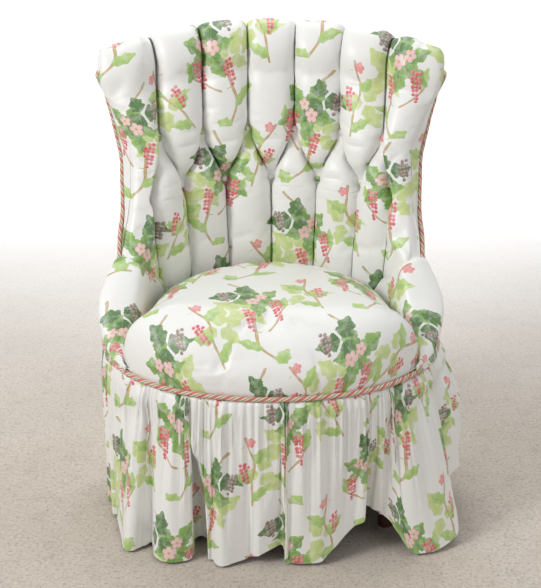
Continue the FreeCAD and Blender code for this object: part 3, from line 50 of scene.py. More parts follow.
CAMERA_PLACE = (0, -2.504, 1.437)
CAMERA_LENS = 88.96
camera_data = bpy.data.cameras.new("camera")
camera_data.lens = CAMERA_LENS
camera_data.shift_x = -0.0009
camera_data.shift_y = -0.0044
camera = bpy.data.objects.new("camera", camera_data)
bpy.context.scene.collection.objects.link(camera)
camera.location = CAMERA_PLACE
bpy.context.scene.camera = camera
bpy.context.scene.view_settings.view_transform = "Standard"


def aim(thing, target):
    """Turns a camera or a lamp towards a point."""
    way = np.array(target) - np.array(thing.location)
    flat = math.hypot(way[0], way[1])
    thing.rotation_euler = (math.pi / 2 + math.atan2(way[2], flat), 0, math.atan2(-way[0], way[1]))


aim(camera, CHAIR_MIDDLE)

# The light: a large soft key from the upper left front, a weaker fill from the right, a soft
# top light behind the crest, and an even pale sky that the camera and the gloss see as white.
SKY_STRENGTH = 0.42
world = bpy.data.worlds.new("sky")
bpy.context.scene.world = world
world.use_nodes = True
sky = world.node_tree
sky.nodes["Background"].inputs["Color"].default_value = (1, 1, 1, 1)
sky_strength = sky.nodes["Background"].inputs["Strength"]
sky_path = sky.nodes.new("ShaderNodeLightPath")
for ray in ("Is Camera Ray", "Is Glossy Ray", "Is Transmission Ray"):
    seen = sky.nodes.new("ShaderNodeMath")
    seen.operation = "MAXIMUM"
    seen.inputs[1].default_value = SKY_STRENGTH
    sky.links.new(sky_path.outputs[ray], seen.inputs[0])
    if sky_strength.is_linked:
        sky.links.new(sky_strength.links[0].from_socket, seen.inputs[1])
    sky.links.new(seen.outputs["Value"], sky_strength)


def soft_lamp(name, place, size, watts):
    """A square area lamp aimed at the chair."""
    lamp_data = bpy.data.lights.new(name, "AREA")
    lamp_data.size = size
    lamp_data.energy = watts
    lamp = bpy.data.objects.new(name, lamp_data)
    bpy.context.scene.collection.objects.link(lamp)
    lamp.location = place
    aim(lamp, CHAIR_MIDDLE)


soft_lamp("key", (-2.3, -1.5, 2.3), 1.1, 58)
soft_lamp("fill", (2.2, -2.2, 1.3), 2.0, 13)
soft_lamp("top", (0.3, 0.9, 2.6), 1.6, 20)


# The floor: pale concrete that rises behind the chair into a white backdrop, in one sweep.
# It is only a stage for the chair.
def paint(red, green, blue):
    """A colour from the eight-bit values that a screen shows."""
    parts = [value / 255 for value in (red, green, blue)]
    linear = [part / 12.92 if part <= 0.04045 else ((part + 0.055) / 1.055) ** 2.4 for part in parts]
    return (*linear, 1)


def plug(tree, socket, value):
    """Feeds a socket from a field, from another socket, or with a plain value."""
    if isinstance(value, Field):
        tree.links.new(value.socket, socket)
    elif isinstance(value, bpy.types.NodeSocket):
        tree.links.new(value, socket)
    else:
        socket.default_value = value


class Field:
    """A socket of a node tree that can be used like a number in a sum."""

    def __init__(self, tree, socket):
        self.tree = tree
        self.socket = socket

    def math(self, operation, *others, clamp=False):
        node = self.tree.nodes.new("ShaderNodeMath")
        node.operation = operation
        node.use_clamp = clamp
        for place, value in enumerate((self, *others)):
            plug(self.tree, node.inputs[place], value)
        return Field(self.tree, node.outputs[0])

    def __add__(self, other):
        return self.math("ADD", other)

    def __sub__(self, other):
        return self.math("SUBTRACT", other)

    def __rsub__(self, other):
        return (self * -1) + other

    def __mul__(self, other):
        return self.math("MULTIPLY", other)

    def __truediv__(self, other):
        return self.math("DIVIDE", other)

    def __pow__(self, other):
        return self.math("POWER", other)

    def __abs__(self):
        return self.math("ABSOLUTE")

    def clamped(self):
        return self.math("ADD", 0.0, clamp=True)

    def sine(self):
        return self.math("SINE")

    def cosine(self):
        return self.math("COSINE")

    def floor(self):
        return self.math("FLOOR")

    def wave(self, half_period):
        """A triangle wave between nothing and half its period."""
        return self.math("PINGPONG", half_period)


def add_node(tree, kind, inputs=None, **settings):
    node = tree.nodes.new(kind)
    for name, value in settings.items():
        setattr(node, name, value)
    for name, value in (inputs or {}).items():
        plug(tree, node.inputs[name], value)
    return node


def split(tree, vector):
    """The first two parts of a vector, as fields."""
    node = add_node(tree, "ShaderNodeSeparateXYZ", {"Vector": vector})
    return Field(tree, node.outputs["X"]), Field(tree, node.outputs["Y"])


def joined(tree, x, y):
    node = add_node(tree, "ShaderNodeCombineXYZ", {"X": x, "Y": y})
    return node.outputs["Vector"]


def over(tree, under, colour, mask):
    """A colour laid over another through a mask."""
    node = tree.nodes.new("ShaderNodeMix")
    node.data_type = "RGBA"
    plug(tree, node.inputs[0], mask)
    plug(tree, node.inputs[6], under)
    plug(tree, node.inputs[7], colour)
    return node.outputs[2]


def noise(tree, vector, scale, detail=2.0, roughness=0.5):
    node = add_node(tree, "ShaderNodeTexNoise", {"Vector": vector, "Scale": scale, "Detail": detail,
                                                 "Roughness": roughness})
    return Field(tree, node.outputs["Fac"])


def new_material(name, roughness, **plain):
    """A material with a Principled shader; plain numbers go on its own sockets."""
    material = bpy.data.materials.new(name)
    material.use_nodes = True
    shader = material.node_tree.nodes["Principled BSDF"]
    shader.inputs["Roughness"].default_value = roughness
    for title, value in plain.items():
        shader.inputs[title.replace("_", " ")].default_value = value
    return material, material.node_tree, shader


def bump(tree, shader, height, distance, strength=1.0):
    node = add_node(tree, "ShaderNodeBump", {"Height": height, "Distance": distance, "Strength": strength})
    tree.links.new(node.outputs["Normal"], shader.inputs["Normal"])


def object_place(tree):
    return add_node(tree, "ShaderNodeTexCoord").outputs["Object"]


SOCKET_KINDS = {"Place": "Vector", "Stretch": "Vector", "Under": "Color", "Color": "Color"}


def node_group(name, inputs, outputs):
    """A node group with sockets of these titles, its inputs as fields, and its output node."""
    group = bpy.data.node_groups.new(name, "ShaderNodeTree")
    for titles, way in ((inputs, "INPUT"), (outputs, "OUTPUT")):
        for title in titles:
            kind = SOCKET_KINDS.get(title, "Float")
            group.interface.new_socket(title, in_out=way, socket_type="NodeSocket" + kind)
    start = group.nodes.new("NodeGroupInput")
    end = group.nodes.new("NodeGroupOutput")
    return group, {title: Field(group, start.outputs[title]) for title in inputs}, end


def use_group(tree, group, **given):
    """A node group at work in a tree: its outputs as fields, by title."""
    node = add_node(tree, "ShaderNodeGroup", given, node_tree=group)
    return {socket.name: Field(tree, socket) for socket in node.outputs}


def mesh_piece(name, points, faces, material=None):
    """An object whose mesh has these points and faces, shaded smooth."""
    mesh = bpy.data.meshes.new(name)
    mesh.from_pydata(np.asarray(points, float).tolist(), [], faces)
    mesh.shade_smooth()
    piece = bpy.data.objects.new(name, mesh)
    bpy.context.scene.collection.objects.link(piece)
    if material:
        mesh.materials.append(material)
    return piece


FLOOR_HALF_WIDTH = 6
SWEEP_START = 2.2
SWEEP_RADIUS = 1.6
sweep_turns = np.linspace(0, math.pi / 2, 17)
floor_profile = [(-4.0, 0.0)] + [(SWEEP_START + SWEEP_RADIUS * math.sin(turn),
                                  SWEEP_RADIUS * (1 - math.cos(turn))) for turn in sweep_turns]
floor_profile.append((SWEEP_START + SWEEP_RADIUS, 5.0))
floor_points = [(side * FLOOR_HALF_WIDTH, y, z) for y, z in floor_profile for side in (-1, 1)]
floor_faces = [(2 * row, 2 * row + 1, 2 * row + 3, 2 * row + 2) for row in range(len(floor_profile) - 1)]
floor_material, tree, shader = new_material("pale_concrete", 0.7)
place = add_node(tree, "ShaderNodeNewGeometry").outputs["Position"]
away = Field(tree, add_node(tree, "ShaderNodeSeparateXYZ", {"Vector": place}).outputs["Y"])
grit = noise(tree, place, 150.0, 4.0, 0.85)
stain = noise(tree, place, 26.0, 5.0, 0.75)
cloud = noise(tree, place, 3.0, 3.0)
concrete = over(tree, paint(191, 180, 168), paint(208, 198, 187), ((cloud - 0.3) * 2).clamped())
concrete = over(tree, concrete, paint(168, 156, 145), ((stain - 0.5) * 2.4).clamped())
concrete = over(tree, concrete, paint(128, 116, 105), ((grit - 0.53) * 7).clamped() * 0.9)
concrete = over(tree, concrete, paint(232, 226, 219), ((0.44 - grit) * 7).clamped() * 0.6)
white_share = (away / 1.75).clamped() ** 1.8
tree.links.new(over(tree, concrete, paint(252, 252, 252), white_share), shader.inputs["Base Color"])
plug(tree, shader.inputs["Emission Strength"], white_share * 0.3)
shader.inputs["Emission Color"].default_value = (1, 1, 1, 1)
bump(tree, shader, grit, 0.0008, 0.5)
mesh_piece("floor", floor_points, floor_faces, floor_material)

# Seat frame and back frame: rails, blocks, posts and boards sawn from pale beech and glued; the covers
# hide all of it. Straight grain runs along each piece, with fine pores between its streaks.
BEECH = (paint(214, 178, 134), paint(188, 146, 102))
BEECH_ROUGHNESS = 0.62
QUARTERS = [(end, hand) for end in ("front", "rear") for hand in ("left", "right")]


def wood_grain():
    """Streaks along the object's height, or along its length, and fine pores."""
    group, given, end = node_group("Wood grain", ["Stretch"], ["Streaks", "Pores"])
    scaled = add_node(group, "ShaderNodeVectorMath", operation="MULTIPLY")
    plug(group, scaled.inputs[0], object_place(group))
    plug(group, scaled.inputs[1], given["Stretch"])
    broad = noise(group, scaled.outputs["Vector"], 1.0, 4.0, 0.6)
    fine = noise(group, scaled.outputs["Vector"], 7.0, 2.0, 0.7)
    plug(group, end.inputs["Streaks"], (broad * 0.7 + fine * 0.3).clamped())
    plug(group, end.inputs["Pores"], ((fine - 0.58) * 6).clamped())
    return group


GRAIN = wood_grain()


def wood(name, light, dark, roughness, stretch, **plain):
    material, tree, shader = new_material(name, roughness, **plain)
    figure = use_group(tree, GRAIN, Stretch=stretch)
    streaks, pores = figure["Streaks"], figure["Pores"]
    colour = over(tree, light, dark, ((streaks - 0.35) * 2.6).clamped())
    tree.links.new(over(tree, colour, dark, pores * 0.6), shader.inputs["Base Color"])
    plug(tree, shader.inputs["Roughness"], (streaks * 0.2 + (roughness - 0.1)).clamped())
    bump(tree, shader, streaks - pores * 0.5, 0.0004, 0.6)
    return material


def dress(material, *names):
    """Gives carried-over nodes a material."""
    for name in names:
        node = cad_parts[name]
        node.data.materials.clear()
        node.data.materials.append(material)


dress(wood("beech_along_x", *BEECH, BEECH_ROUGHNESS, (6, 60, 60)), "seat_rail_front", "seat_rail_rear",
      "crest_rail", "lower_back_rail")
dress(wood("beech_along_y", *BEECH, BEECH_ROUGHNESS, (60, 6, 60)), "seat_rail_left", "seat_rail_right",
      "arm_board_left", "arm_board_right", *[f"corner_block_{end}_{hand}" for end, hand in QUARTERS])
dress(wood("beech_upright", *BEECH, BEECH_ROUGHNESS, (60, 60, 6)),
      *[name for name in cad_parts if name.startswith("back_post")])

# Legs and springs: the legs are turned from hardwood, stained dark red-brown and lacquered. Each has a
# nickelled nail-on glide and a zinc-plated bolt through its corner block. The springs are oiled steel wire.
leg_wood = wood("stained_hardwood", paint(94, 44, 26), paint(38, 16, 11), 0.34, (55, 55, 5),
                Coat_Weight=0.35, Coat_Roughness=0.2)
dress(leg_wood, *[f"{end}_leg_{hand}" for end, hand in QUARTERS])


def metal(name, colour, roughness, scratch):
    """Metal with fine rolled or drawn marks."""
    material, tree, shader = new_material(name, roughness, Metallic=1.0)
    marks = noise(tree, object_place(tree), scratch, 4.0, 0.7)
    dull = tuple(part * 0.72 for part in colour[:3]) + (1,)
    tree.links.new(over(tree, colour, dull, marks), shader.inputs["Base Color"])
    plug(tree, shader.inputs["Roughness"], (marks * 0.25 + (roughness - 0.1)).clamped())
    bump(tree, shader, marks, 0.0001, 0.5)
    return material


dress(metal("nickelled_steel", paint(196, 192, 184), 0.3, 900.0),
      *[f"glide_{end}_{hand}" for end, hand in QUARTERS])
dress(metal("zinc_steel", paint(170, 172, 172), 0.42, 700.0), "leg_bolts")
dress(metal("oiled_spring_steel", paint(108, 110, 112), 0.38, 600.0),
      *[f"seat_spring_{number}" for number in range(1, 10)])


# Webbing, burlap, tape, twine and dust cover: jute, cotton, hemp and cambric that line the frame under
# the covers. A plain weave of two crossing sets of yarns shows on each cloth, at its own pitch.
def plain_weave():
    """Crossing yarns at a pitch in metres."""
    group, given, end = node_group("Plain weave", ["Place", "Pitch"], ["Height"])
    x, y = split(group, given["Place"])
    pitch = given["Pitch"]
    warp = (x / pitch * math.pi).sine()
    weft = (y / pitch * math.pi).sine()
    plug(group, end.inputs["Height"], (warp * weft * 0.25 + abs(warp) * 0.25 + abs(weft) * 0.25).clamped())
    return group


WEAVE = plain_weave()


def woven(name, yarn, gap_shade_and_slub, pitch, roughness, depth):
    """A plain-woven utility cloth, with painted shade in the gaps between its yarns."""
    material, tree, shader = new_material(name, roughness)
    position = object_place(tree)
    height = use_group(tree, WEAVE, Place=position, Pitch=pitch)["Height"]
    slub = noise(tree, position, 140.0, 3.0)
    # Painted shade: the gaps between the yarns take the darker colour; the same colour also darkens the
    # cloth at random where the yarn slubs.
    colour = over(tree, gap_shade_and_slub, yarn, (height * 1.6).clamped())
    tree.links.new(over(tree, colour, gap_shade_and_slub, slub * 0.4), shader.inputs["Base Color"])
    bump(tree, shader, height, depth)
    return material


dress(woven("jute_webbing", paint(188, 156, 108), paint(120, 92, 58), 0.0022, 0.85, 0.0006),
      "seat_webbing_lengthwise", "seat_webbing_crosswise", "back_webbing")
dress(woven("burlap", paint(196, 166, 118), paint(112, 86, 52), 0.0016, 0.9, 0.0005),
      "seat_burlap", "back_burlap")
dress(woven("black_cambric", paint(44, 44, 46), paint(24, 24, 26), 0.0006, 0.8, 0.0001), "dust_cover")
dress(woven("gathering_tape", paint(232, 228, 216), paint(204, 198, 184), 0.0009, 0.8, 0.0002), "skirt_band")


def plied(name, yarn, hollow_shade, pitch):
    """Twine: a slanting ply mark that runs round each line, with painted shade in the hollows between the
    plies.
    """
    material, tree, shader = new_material(name, 0.8)
    parts = add_node(tree, "ShaderNodeSeparateXYZ", {"Vector": object_place(tree)}).outputs
    along = Field(tree, parts["X"]) + Field(tree, parts["Y"]) + Field(tree, parts["Z"])
    ply = (along / pitch).wave(0.5) * 2
    # Painted shade: the hollows between the plies take the darker colour.
    tree.links.new(over(tree, hollow_shade, yarn, ply), shader.inputs["Base Color"])
    bump(tree, shader, ply, 0.0004)
    return material


dress(plied("hemp_twine", paint(206, 182, 136), paint(128, 100, 62), 0.003), "spring_twine", "tufting_twine")


# The cover cloth: a glazed cotton printed with loose sprays of leaves, five-petal blossoms and hanging
# bunches of buds on a cool white ground. Node groups draw the motifs in metres of cloth, growing up the
# cloth; the sprays fall in a half-drop repeat, turned and mirrored from place to place.
GROUND = paint(236, 236, 233)
DARK_GREEN = paint(80, 124, 54)
MID_GREEN = paint(142, 184, 88)
LIGHT_GREEN = paint(182, 208, 122)
BLUE_GREEN = paint(60, 100, 56)
PALE_GREEN = paint(208, 220, 152)
# For each kind of leaf its shaded side, its lit side and its veins.
DARK_LEAF = (DARK_GREEN, MID_GREEN, LIGHT_GREEN)
MID_LEAF = (MID_GREEN, LIGHT_GREEN, PALE_GREEN)
DEEP_LEAF = (BLUE_GREEN, DARK_GREEN, MID_GREEN)
PALE_LEAF = (paint(186, 204, 124), PALE_GREEN, PALE_GREEN)
CORAL = paint(226, 110, 120)
CORAL_PALE = paint(244, 176, 178)
MAUVE_PALE = paint(226, 212, 206)
# For each kind of bunch its shade, its buds and their lit side.
CORAL_BUNCH = (paint(196, 62, 78), CORAL, CORAL_PALE)
MAUVE_BUNCH = (paint(112, 84, 84), paint(166, 140, 134), MAUVE_PALE)
STEM = paint(198, 170, 116)
STEM_EDGE = paint(128, 96, 58)
PRINT_EDGE = 0.0005


def leaf_group():
    """One toothed, lightly lobed leaf: its base at the origin and its tip up the second axis."""
    group, given, end = node_group("Leaf", ["Place", "Length", "Width"], ["Mask", "Tone", "Veins"])
    x, y = split(group, given["Place"])
    share = (y / given["Length"]).clamped()
    lobes = (share * 2.5).wave(0.5) * 0.62
    teeth = ((y + abs(x) * 0.6) / given["Length"] * 9.0).wave(0.5) * 0.16
    belly = ((share ** 0.72) * math.pi).sine().clamped() ** 0.8
    half = given["Width"] * belly * (lobes + teeth + 0.52)
    side = abs(x)
    plug(group, end.inputs["Mask"], ((half - side) / PRINT_EDGE).clamped())
    midrib = (1 - side / 0.0008).clamped()
    ribs = ((y - side * 1.1) / given["Length"] * 6.5).wave(0.5)
    side_veins = (1 - ribs * 7.0).clamped() * 0.7
    plug(group, end.inputs["Veins"], midrib.math("MAXIMUM", side_veins))
    lit_half = (x / 0.002 + 0.5).clamped() * 0.34
    rim = (side / half.math("MAXIMUM", 0.001)).clamped() * 0.3
    plug(group, end.inputs["Tone"], (lit_half + rim + share * 0.3 + ribs * 0.25).clamped())
    return group


def blossom_group():
    """A flat five-petal blossom about the origin."""
    group, given, end = node_group("Blossom", ["Place", "Radius"], ["Mask", "Tone", "Heart"])
    x, y = split(group, given["Place"])
    reach = (x * x + y * y) ** 0.5
    turn = y.math("ARCTAN2", x)
    petal = abs((turn * 2.5).cosine()) ** 0.45
    edge = given["Radius"] * (petal * 0.52 + 0.48)
    plug(group, end.inputs["Mask"], ((edge - reach) / PRINT_EDGE).clamped())
    share = reach / given["Radius"]
    plug(group, end.inputs["Heart"], ((0.27 - share) * 14).clamped())
    plug(group, end.inputs["Tone"], (share * 0.85 + (1 - petal) * 0.5).clamped())
    return group


def bunch_group():
    """A hanging, tapering bunch of round buds: its top at the origin, its tip down the second axis."""
    bud = 0.0074
    group, given, end = node_group("Bud bunch", ["Place", "Length", "Width"], ["Mask", "Tone", "Tint"])
    cells = add_node(group, "ShaderNodeTexVoronoi", voronoi_dimensions="2D",
                     inputs={"Vector": given["Place"], "Scale": 1 / bud, "Randomness": 0.42})
    bud_x, bud_y = split(group, cells.outputs["Position"])
    share = (bud_y * -1 / given["Length"])
    inside = (share + 0.02).math("GREATER_THAN", 0.0) * (1 - share).math("GREATER_THAN", 0.0)
    half = given["Width"] * (((1.04 - share).clamped() ** 0.75) * ((share + 0.12).clamped() ** 0.3))
    inside = inside * (half - abs(bud_x)).math("GREATER_THAN", 0.0)
    reach = Field(group, cells.outputs["Distance"])
    round_bud = ((0.53 - reach) * 12).clamped()
    plug(group, end.inputs["Mask"], inside * round_bud)
    x, y = split(group, given["Place"])
    lit = ((x - bud_x) * -0.6 + (y - bud_y) * 0.8) / bud
    plug(group, end.inputs["Tone"], (lit * 1.1 + 0.45).clamped())
    tint = add_node(group, "ShaderNodeSeparateColor", {"Color": cells.outputs["Color"]})
    plug(group, end.inputs["Tint"], tint.outputs["Red"])
    return group


LEAF = leaf_group()
BLOSSOM = blossom_group()
BUNCH = bunch_group()


def turned_place(x, y, degrees):
    """Coordinates turned by an angle in degrees."""
    cosine = math.cos(math.radians(degrees))
    sine = math.sin(math.radians(degrees))
    return x * cosine + y * sine, y * cosine - x * sine


def draw_leaf(tree, under, x, y, length, width, shade, lit, vein):
    """A leaf over what is there, its base at nothing."""
    leaf = use_group(tree, LEAF, Place=joined(tree, x, y), Length=length, Width=width)
    colour = over(tree, shade, lit, leaf["Tone"])
    colour = over(tree, colour, vein, leaf["Veins"] * 0.55)
    return over(tree, under, colour, leaf["Mask"])


def draw_rosette(tree, under, x, y, count, length, width, seed, *leaf_paints):
    """Leaves that spread round a point; a number from the seed varies their lengths."""
    wedge = 2 * math.pi / count
    turn = (y.math("ARCTAN2", x) / wedge)
    index = turn.floor()
    local = (turn - index - 0.5) * wedge
    reach = (x * x + y * y) ** 0.5
    chance = add_node(tree, "ShaderNodeTexWhiteNoise", noise_dimensions="2D",
                      inputs={"Vector": joined(tree, index, seed)})
    varied = Field(tree, chance.outputs["Value"])
    across = local.sine() * reach
    along = local.cosine() * reach - 0.004
    return draw_leaf(tree, under, across, along, (varied * 0.5 + 0.62) * length,
                     (varied * 0.3 + 0.75) * width, *leaf_paints)


def between(value, low, high):
    """One between two bounds, nothing outside them."""
    return (value - low).math("GREATER_THAN", 0.0) * (high - value).math("GREATER_THAN", 0.0)


def draw_twig(tree, under, x, y, low, high, half_width, bend, phase):
    """A woody stem that winds up between two heights."""
    line = (y * 34 + phase).sine() * bend + (y * 91 + phase).sine() * (bend * 0.22)
    side = abs(x - line)
    knots = (y * 260).sine() * 0.0002
    mask = ((knots + half_width - side) / PRINT_EDGE).clamped() * between(y, low, high)
    edge = ((side - half_width * 0.45) / (half_width * 0.5)).clamped()
    return over(tree, under, over(tree, STEM, STEM_EDGE, edge), mask)


def draw_side_leaves(tree, under, x, y, high, pitch, length, width, *leaf_paints):
    """Leaves that leave a stem in turn to its left and right, from its foot up to a height."""
    steps = y / pitch
    index = steps.floor()
    parity = (index * 0.5).math("FRACT") * 4 - 1
    local_y = (steps - index) * pitch - 0.1 * pitch
    across, along = turned_place(x * parity, local_y, 58)
    drawn = draw_leaf(tree, under, across, along, length, width, *leaf_paints)
    return over(tree, under, drawn, between(y, 0.0, high))


def draw_bunch(tree, under, x, y, length, width, deep, mid, pale):
    """A bunch of buds, each with a lit side."""
    bunch = use_group(tree, BUNCH, Place=joined(tree, x, y), Length=length, Width=width)
    colour = over(tree, deep, mid, (bunch["Tone"] * 1.6).clamped())
    colour = over(tree, colour, pale, ((bunch["Tone"] - 0.62) * 2.6).clamped())
    colour = over(tree, colour, deep, ((bunch["Tint"] - 0.6) * 1.4).clamped())
    return over(tree, under, colour, bunch["Mask"])


def draw_blossom(tree, under, x, y, radius, petal, rim):
    flower = use_group(tree, BLOSSOM, Place=joined(tree, x, y), Radius=radius)
    colour = over(tree, petal, rim, flower["Tone"])
    colour = over(tree, colour, STEM, flower["Heart"])
    return over(tree, under, colour, flower["Mask"])


REPEAT_ACROSS = 0.192
REPEAT_DROP = 0.242


def scatter_group():
    """Half-drop repeat: for each place in the cloth, its place in its own spray and a seed."""
    group, given, end = node_group("Half drop", ["Place", "Turn"], ["Place", "Seed"])
    x, y = split(group, given["Place"])
    column = (x / REPEAT_ACROSS).floor()
    shifted = y + (column * 0.5).math("FRACT") * REPEAT_DROP
    row = (shifted / REPEAT_DROP).floor()
    local_x = x - (column + 0.5) * REPEAT_ACROSS
    local_y = shifted - (row + 0.5) * REPEAT_DROP
    chance = add_node(group, "ShaderNodeTexWhiteNoise", noise_dimensions="2D",
                      inputs={"Vector": joined(group, column, row)})
    parts = add_node(group, "ShaderNodeSeparateColor", {"Color": chance.outputs["Color"]})
    red, green, blue = [Field(group, parts.outputs[name]) for name in ("Red", "Green", "Blue")]
    turn = (red - 0.5) * given["Turn"]
    cosine, sine = turn.cosine(), turn.sine()
    mirror = green.math("GREATER_THAN", 0.5) * 2 - 1
    turned_x = (local_x * cosine + local_y * sine) * mirror
    turned_y = local_y * cosine - local_x * sine
    plug(group, end.inputs["Place"], joined(group, turned_x, turned_y))
    plug(group, end.inputs["Seed"], blue * 31 + red * 7)
    return group


HALF_DROP = scatter_group()


def spray_group():
    """The large spray: a winding stem, a rosette of leaves with blossoms, and three hanging bunches."""
    group, given, end = node_group("Large spray", ["Place", "Seed", "Under"], ["Color"])
    x, y = split(group, given["Place"])
    seed = given["Seed"]
    colour = draw_rosette(group, given["Under"], x + 0.030, y + 0.006, 4, 0.050, 0.020, seed + 3, *PALE_LEAF)
    colour = draw_twig(group, colour, x + 0.004, y, -0.128, 0.112, 0.0031, 0.017, 0.5)
    lean_x, lean_y = turned_place(x - 0.006, y + 0.060, -42)
    colour = draw_twig(group, colour, lean_x, lean_y, 0.0, 0.072, 0.0020, 0.004, 0.0)
    colour = draw_leaf(group, colour, *turned_place(lean_x, lean_y - 0.058, 24), 0.040, 0.013, *MID_LEAF)
    stem_x = x + 0.004 - (y * 34 + 0.5).sine() * 0.017
    colour = draw_side_leaves(group, colour, stem_x, y + 0.132, 0.074, 0.036, 0.043, 0.0150, *MID_LEAF)
    colour = draw_rosette(group, colour, x - 0.010, y - 0.022, 5, 0.060, 0.0235, seed, *DARK_LEAF)
    colour = draw_rosette(group, colour, x + 0.016, y - 0.054, 3, 0.050, 0.0245, seed + 9, *DEEP_LEAF)
    colour = draw_bunch(group, colour, x - 0.034, y - 0.014, 0.064, 0.0175, *CORAL_BUNCH)
    colour = draw_bunch(group, colour, x + 0.022, y + 0.004, 0.054, 0.0150, *CORAL_BUNCH)
    colour = draw_bunch(group, colour, x + 0.046, y - 0.078, 0.052, 0.0150, *MAUVE_BUNCH)
    colour = draw_blossom(group, colour, x + 0.002, y - 0.020, 0.0135, MAUVE_PALE, CORAL_PALE)
    colour = draw_blossom(group, colour, x - 0.018, y - 0.034, 0.0115, MAUVE_PALE, CORAL_PALE)
    plug(group, end.inputs["Color"], colour)
    return group


def sprig_group():
    """The small sprig between the sprays: a thin stem, pale and mid leaves and one bunch."""
    group, given, end = node_group("Small sprig", ["Place", "Seed", "Under"], ["Color"])
    x, y = split(group, given["Place"])
    colour = draw_rosette(group, given["Under"], x - 0.020, y + 0.014, 3, 0.054, 0.020, given["Seed"] + 5,
                          *PALE_LEAF)
    colour = draw_twig(group, colour, x, y, -0.078, 0.062, 0.0023, 0.009, 1.1)
    stem_x = x - (y * 34 + 1.1).sine() * 0.009
    colour = draw_side_leaves(group, colour, stem_x, y + 0.070, 0.115, 0.038, 0.045, 0.0150, *MID_LEAF)
    colour = draw_bunch(group, colour, x + 0.012, y - 0.016, 0.046, 0.0135, *CORAL_BUNCH)
    colour = draw_blossom(group, colour, x - 0.010, y - 0.050, 0.0105, CORAL_PALE, CORAL)
    plug(group, end.inputs["Color"], colour)
    return group


SPRAY = spray_group()
SPRIG = sprig_group()


def print_group():
    """The whole print over its ground, from cloth coordinates in metres."""
    group, given, end = node_group("Botanical print", ["Place"], ["Color"])
    colour = GROUND
    for motif, shift, turn in ((SPRIG, (0.112, 0.055, 0), 1.3), (SPRAY, (0.018, 0, 0), 0.75)):
        moved = add_node(group, "ShaderNodeVectorMath", operation="ADD")
        plug(group, moved.inputs[0], given["Place"])
        plug(group, moved.inputs[1], shift)
        cell = use_group(group, HALF_DROP, Place=moved.outputs["Vector"], Turn=turn)
        colour = use_group(group, motif, Place=cell["Place"], Seed=cell["Seed"], Under=colour)["Color"]
    watery = noise(group, given["Place"], 75.0, 3.0)
    washed = over(group, colour, GROUND, ((watery - 0.46) * 1.5).clamped())
    plug(group, end.inputs["Color"], washed)
    return group


PRINT = print_group()
CLOTH_MAP = "cloth"
COTTON_PITCH = 0.00045


def cotton(name, printed):
    """Cotton: the print, glazed, or a plain lining, both with a fine weave and small creases."""
    glaze = 0.34 if printed else 0.0
    material, tree, shader = new_material(name, 0.5, Coat_Weight=glaze, Coat_Roughness=0.30,
                                          Sheen_Weight=0.08, Sheen_Roughness=0.5)
    cloth = add_node(tree, "ShaderNodeUVMap", uv_map=CLOTH_MAP).outputs["UV"]
    slub = noise(tree, cloth, 420.0, 3.0, 0.6)
    colour = use_group(tree, PRINT, Place=cloth)["Color"] if printed else paint(226, 222, 212)
    tree.links.new(over(tree, colour, paint(214, 212, 204), (slub - 0.45).clamped() * 0.5),
                   shader.inputs["Base Color"])
    weave = use_group(tree, WEAVE, Place=cloth, Pitch=COTTON_PITCH)["Height"]
    creases = noise(tree, cloth, 46.0, 3.0, 0.55)
    plug(tree, shader.inputs["Roughness"], (creases * 0.3 + (0.36 if printed else 0.6)).clamped())
    bump(tree, shader, weave * 0.08 + creases * 1.1 + slub * 0.06, 0.0011, 0.7)
    return material


CHINTZ = cotton("printed_chintz", True)
LINING = cotton("plain_lining", False)


# The plan of the seat and the tub: the frame under the covers. The seat is an oval of six tangent arcs;
# the back is a tub about an axis in front of the widest line, and its bed, where the buttons pull down
# to, is an arc in plan at every height. The top of the rails is read from the frame.
WIDEST_LINE = 0.013
RAIL_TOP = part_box("seat_rail_front")[1].z
HALF_WIDTH = 0.314
# Depth and corner radius of the oval's front half and of its rear half.
DEPTHS = {True: 0.270, False: 0.238}
CORNERS = {True: 0.262, False: 0.200}
TUB_RADIUS = 0.297
TUB_AXIS = WIDEST_LINE - 0.125
LOWER_ROW = 0.590
UPPER_ROW = 0.682
CREST_ROLL = 0.815


def blend(low, high, share):
    return low + (high - low) * share


def within_one(share):
    return min(1, max(0, share))


def seat_level(share):
    return blend(RAIL_TOP, LOWER_ROW, share)


def row_level(share):
    return blend(LOWER_ROW, UPPER_ROW, share)


def wing_level(share):
    return blend(UPPER_ROW, CREST_ROLL, share)


def read_table(rows, key):
    """Straight-line reading of a table whose first column rises."""
    columns = np.array(rows, float).T
    return [np.interp(key, columns[0], column) for column in columns[1:]]


def tub_point(degrees, reach, height):
    """A point by its angle from the rear and its distance from the tub's axis."""
    turn = math.radians(degrees)
    return np.array([reach * math.sin(turn), TUB_AXIS + reach * math.cos(turn), height])


def oval_reach(direction_x, direction_y, start_y, outset):
    """Distance from a point on the middle line to the oval, along a unit direction."""
    def to_circle(middle_x, middle_y, radius):
        way_y = middle_y - start_y
        along = middle_x * direction_x + way_y * direction_y
        return along + math.sqrt(max(radius ** 2 - middle_x ** 2 - way_y ** 2 + along ** 2, 0))

    for front in (True, False):
        depth, corner = DEPTHS[front], CORNERS[front]
        centre = HALF_WIDTH - corner
        big = (centre ** 2 + depth ** 2 - corner ** 2) / (2 * (depth - corner))
        sign = 1 if front else -1
        end_centre = WIDEST_LINE + sign * (big - depth)
        corner_centre = math.copysign(centre, direction_x)
        for middle_x, middle_y, radius in ((corner_centre, WIDEST_LINE, corner), (0, end_centre, big)):
            reach = to_circle(middle_x, middle_y, radius + outset)
            x, y = reach * direction_x, start_y + reach * direction_y
            on_this_half = (y <= WIDEST_LINE) if front else (y >= WIDEST_LINE)
            on_corner = abs(x) * (big - depth) - sign * (WIDEST_LINE - y) * centre >= 0
            if on_this_half and on_corner == (middle_x != 0):
                return reach
    return reach


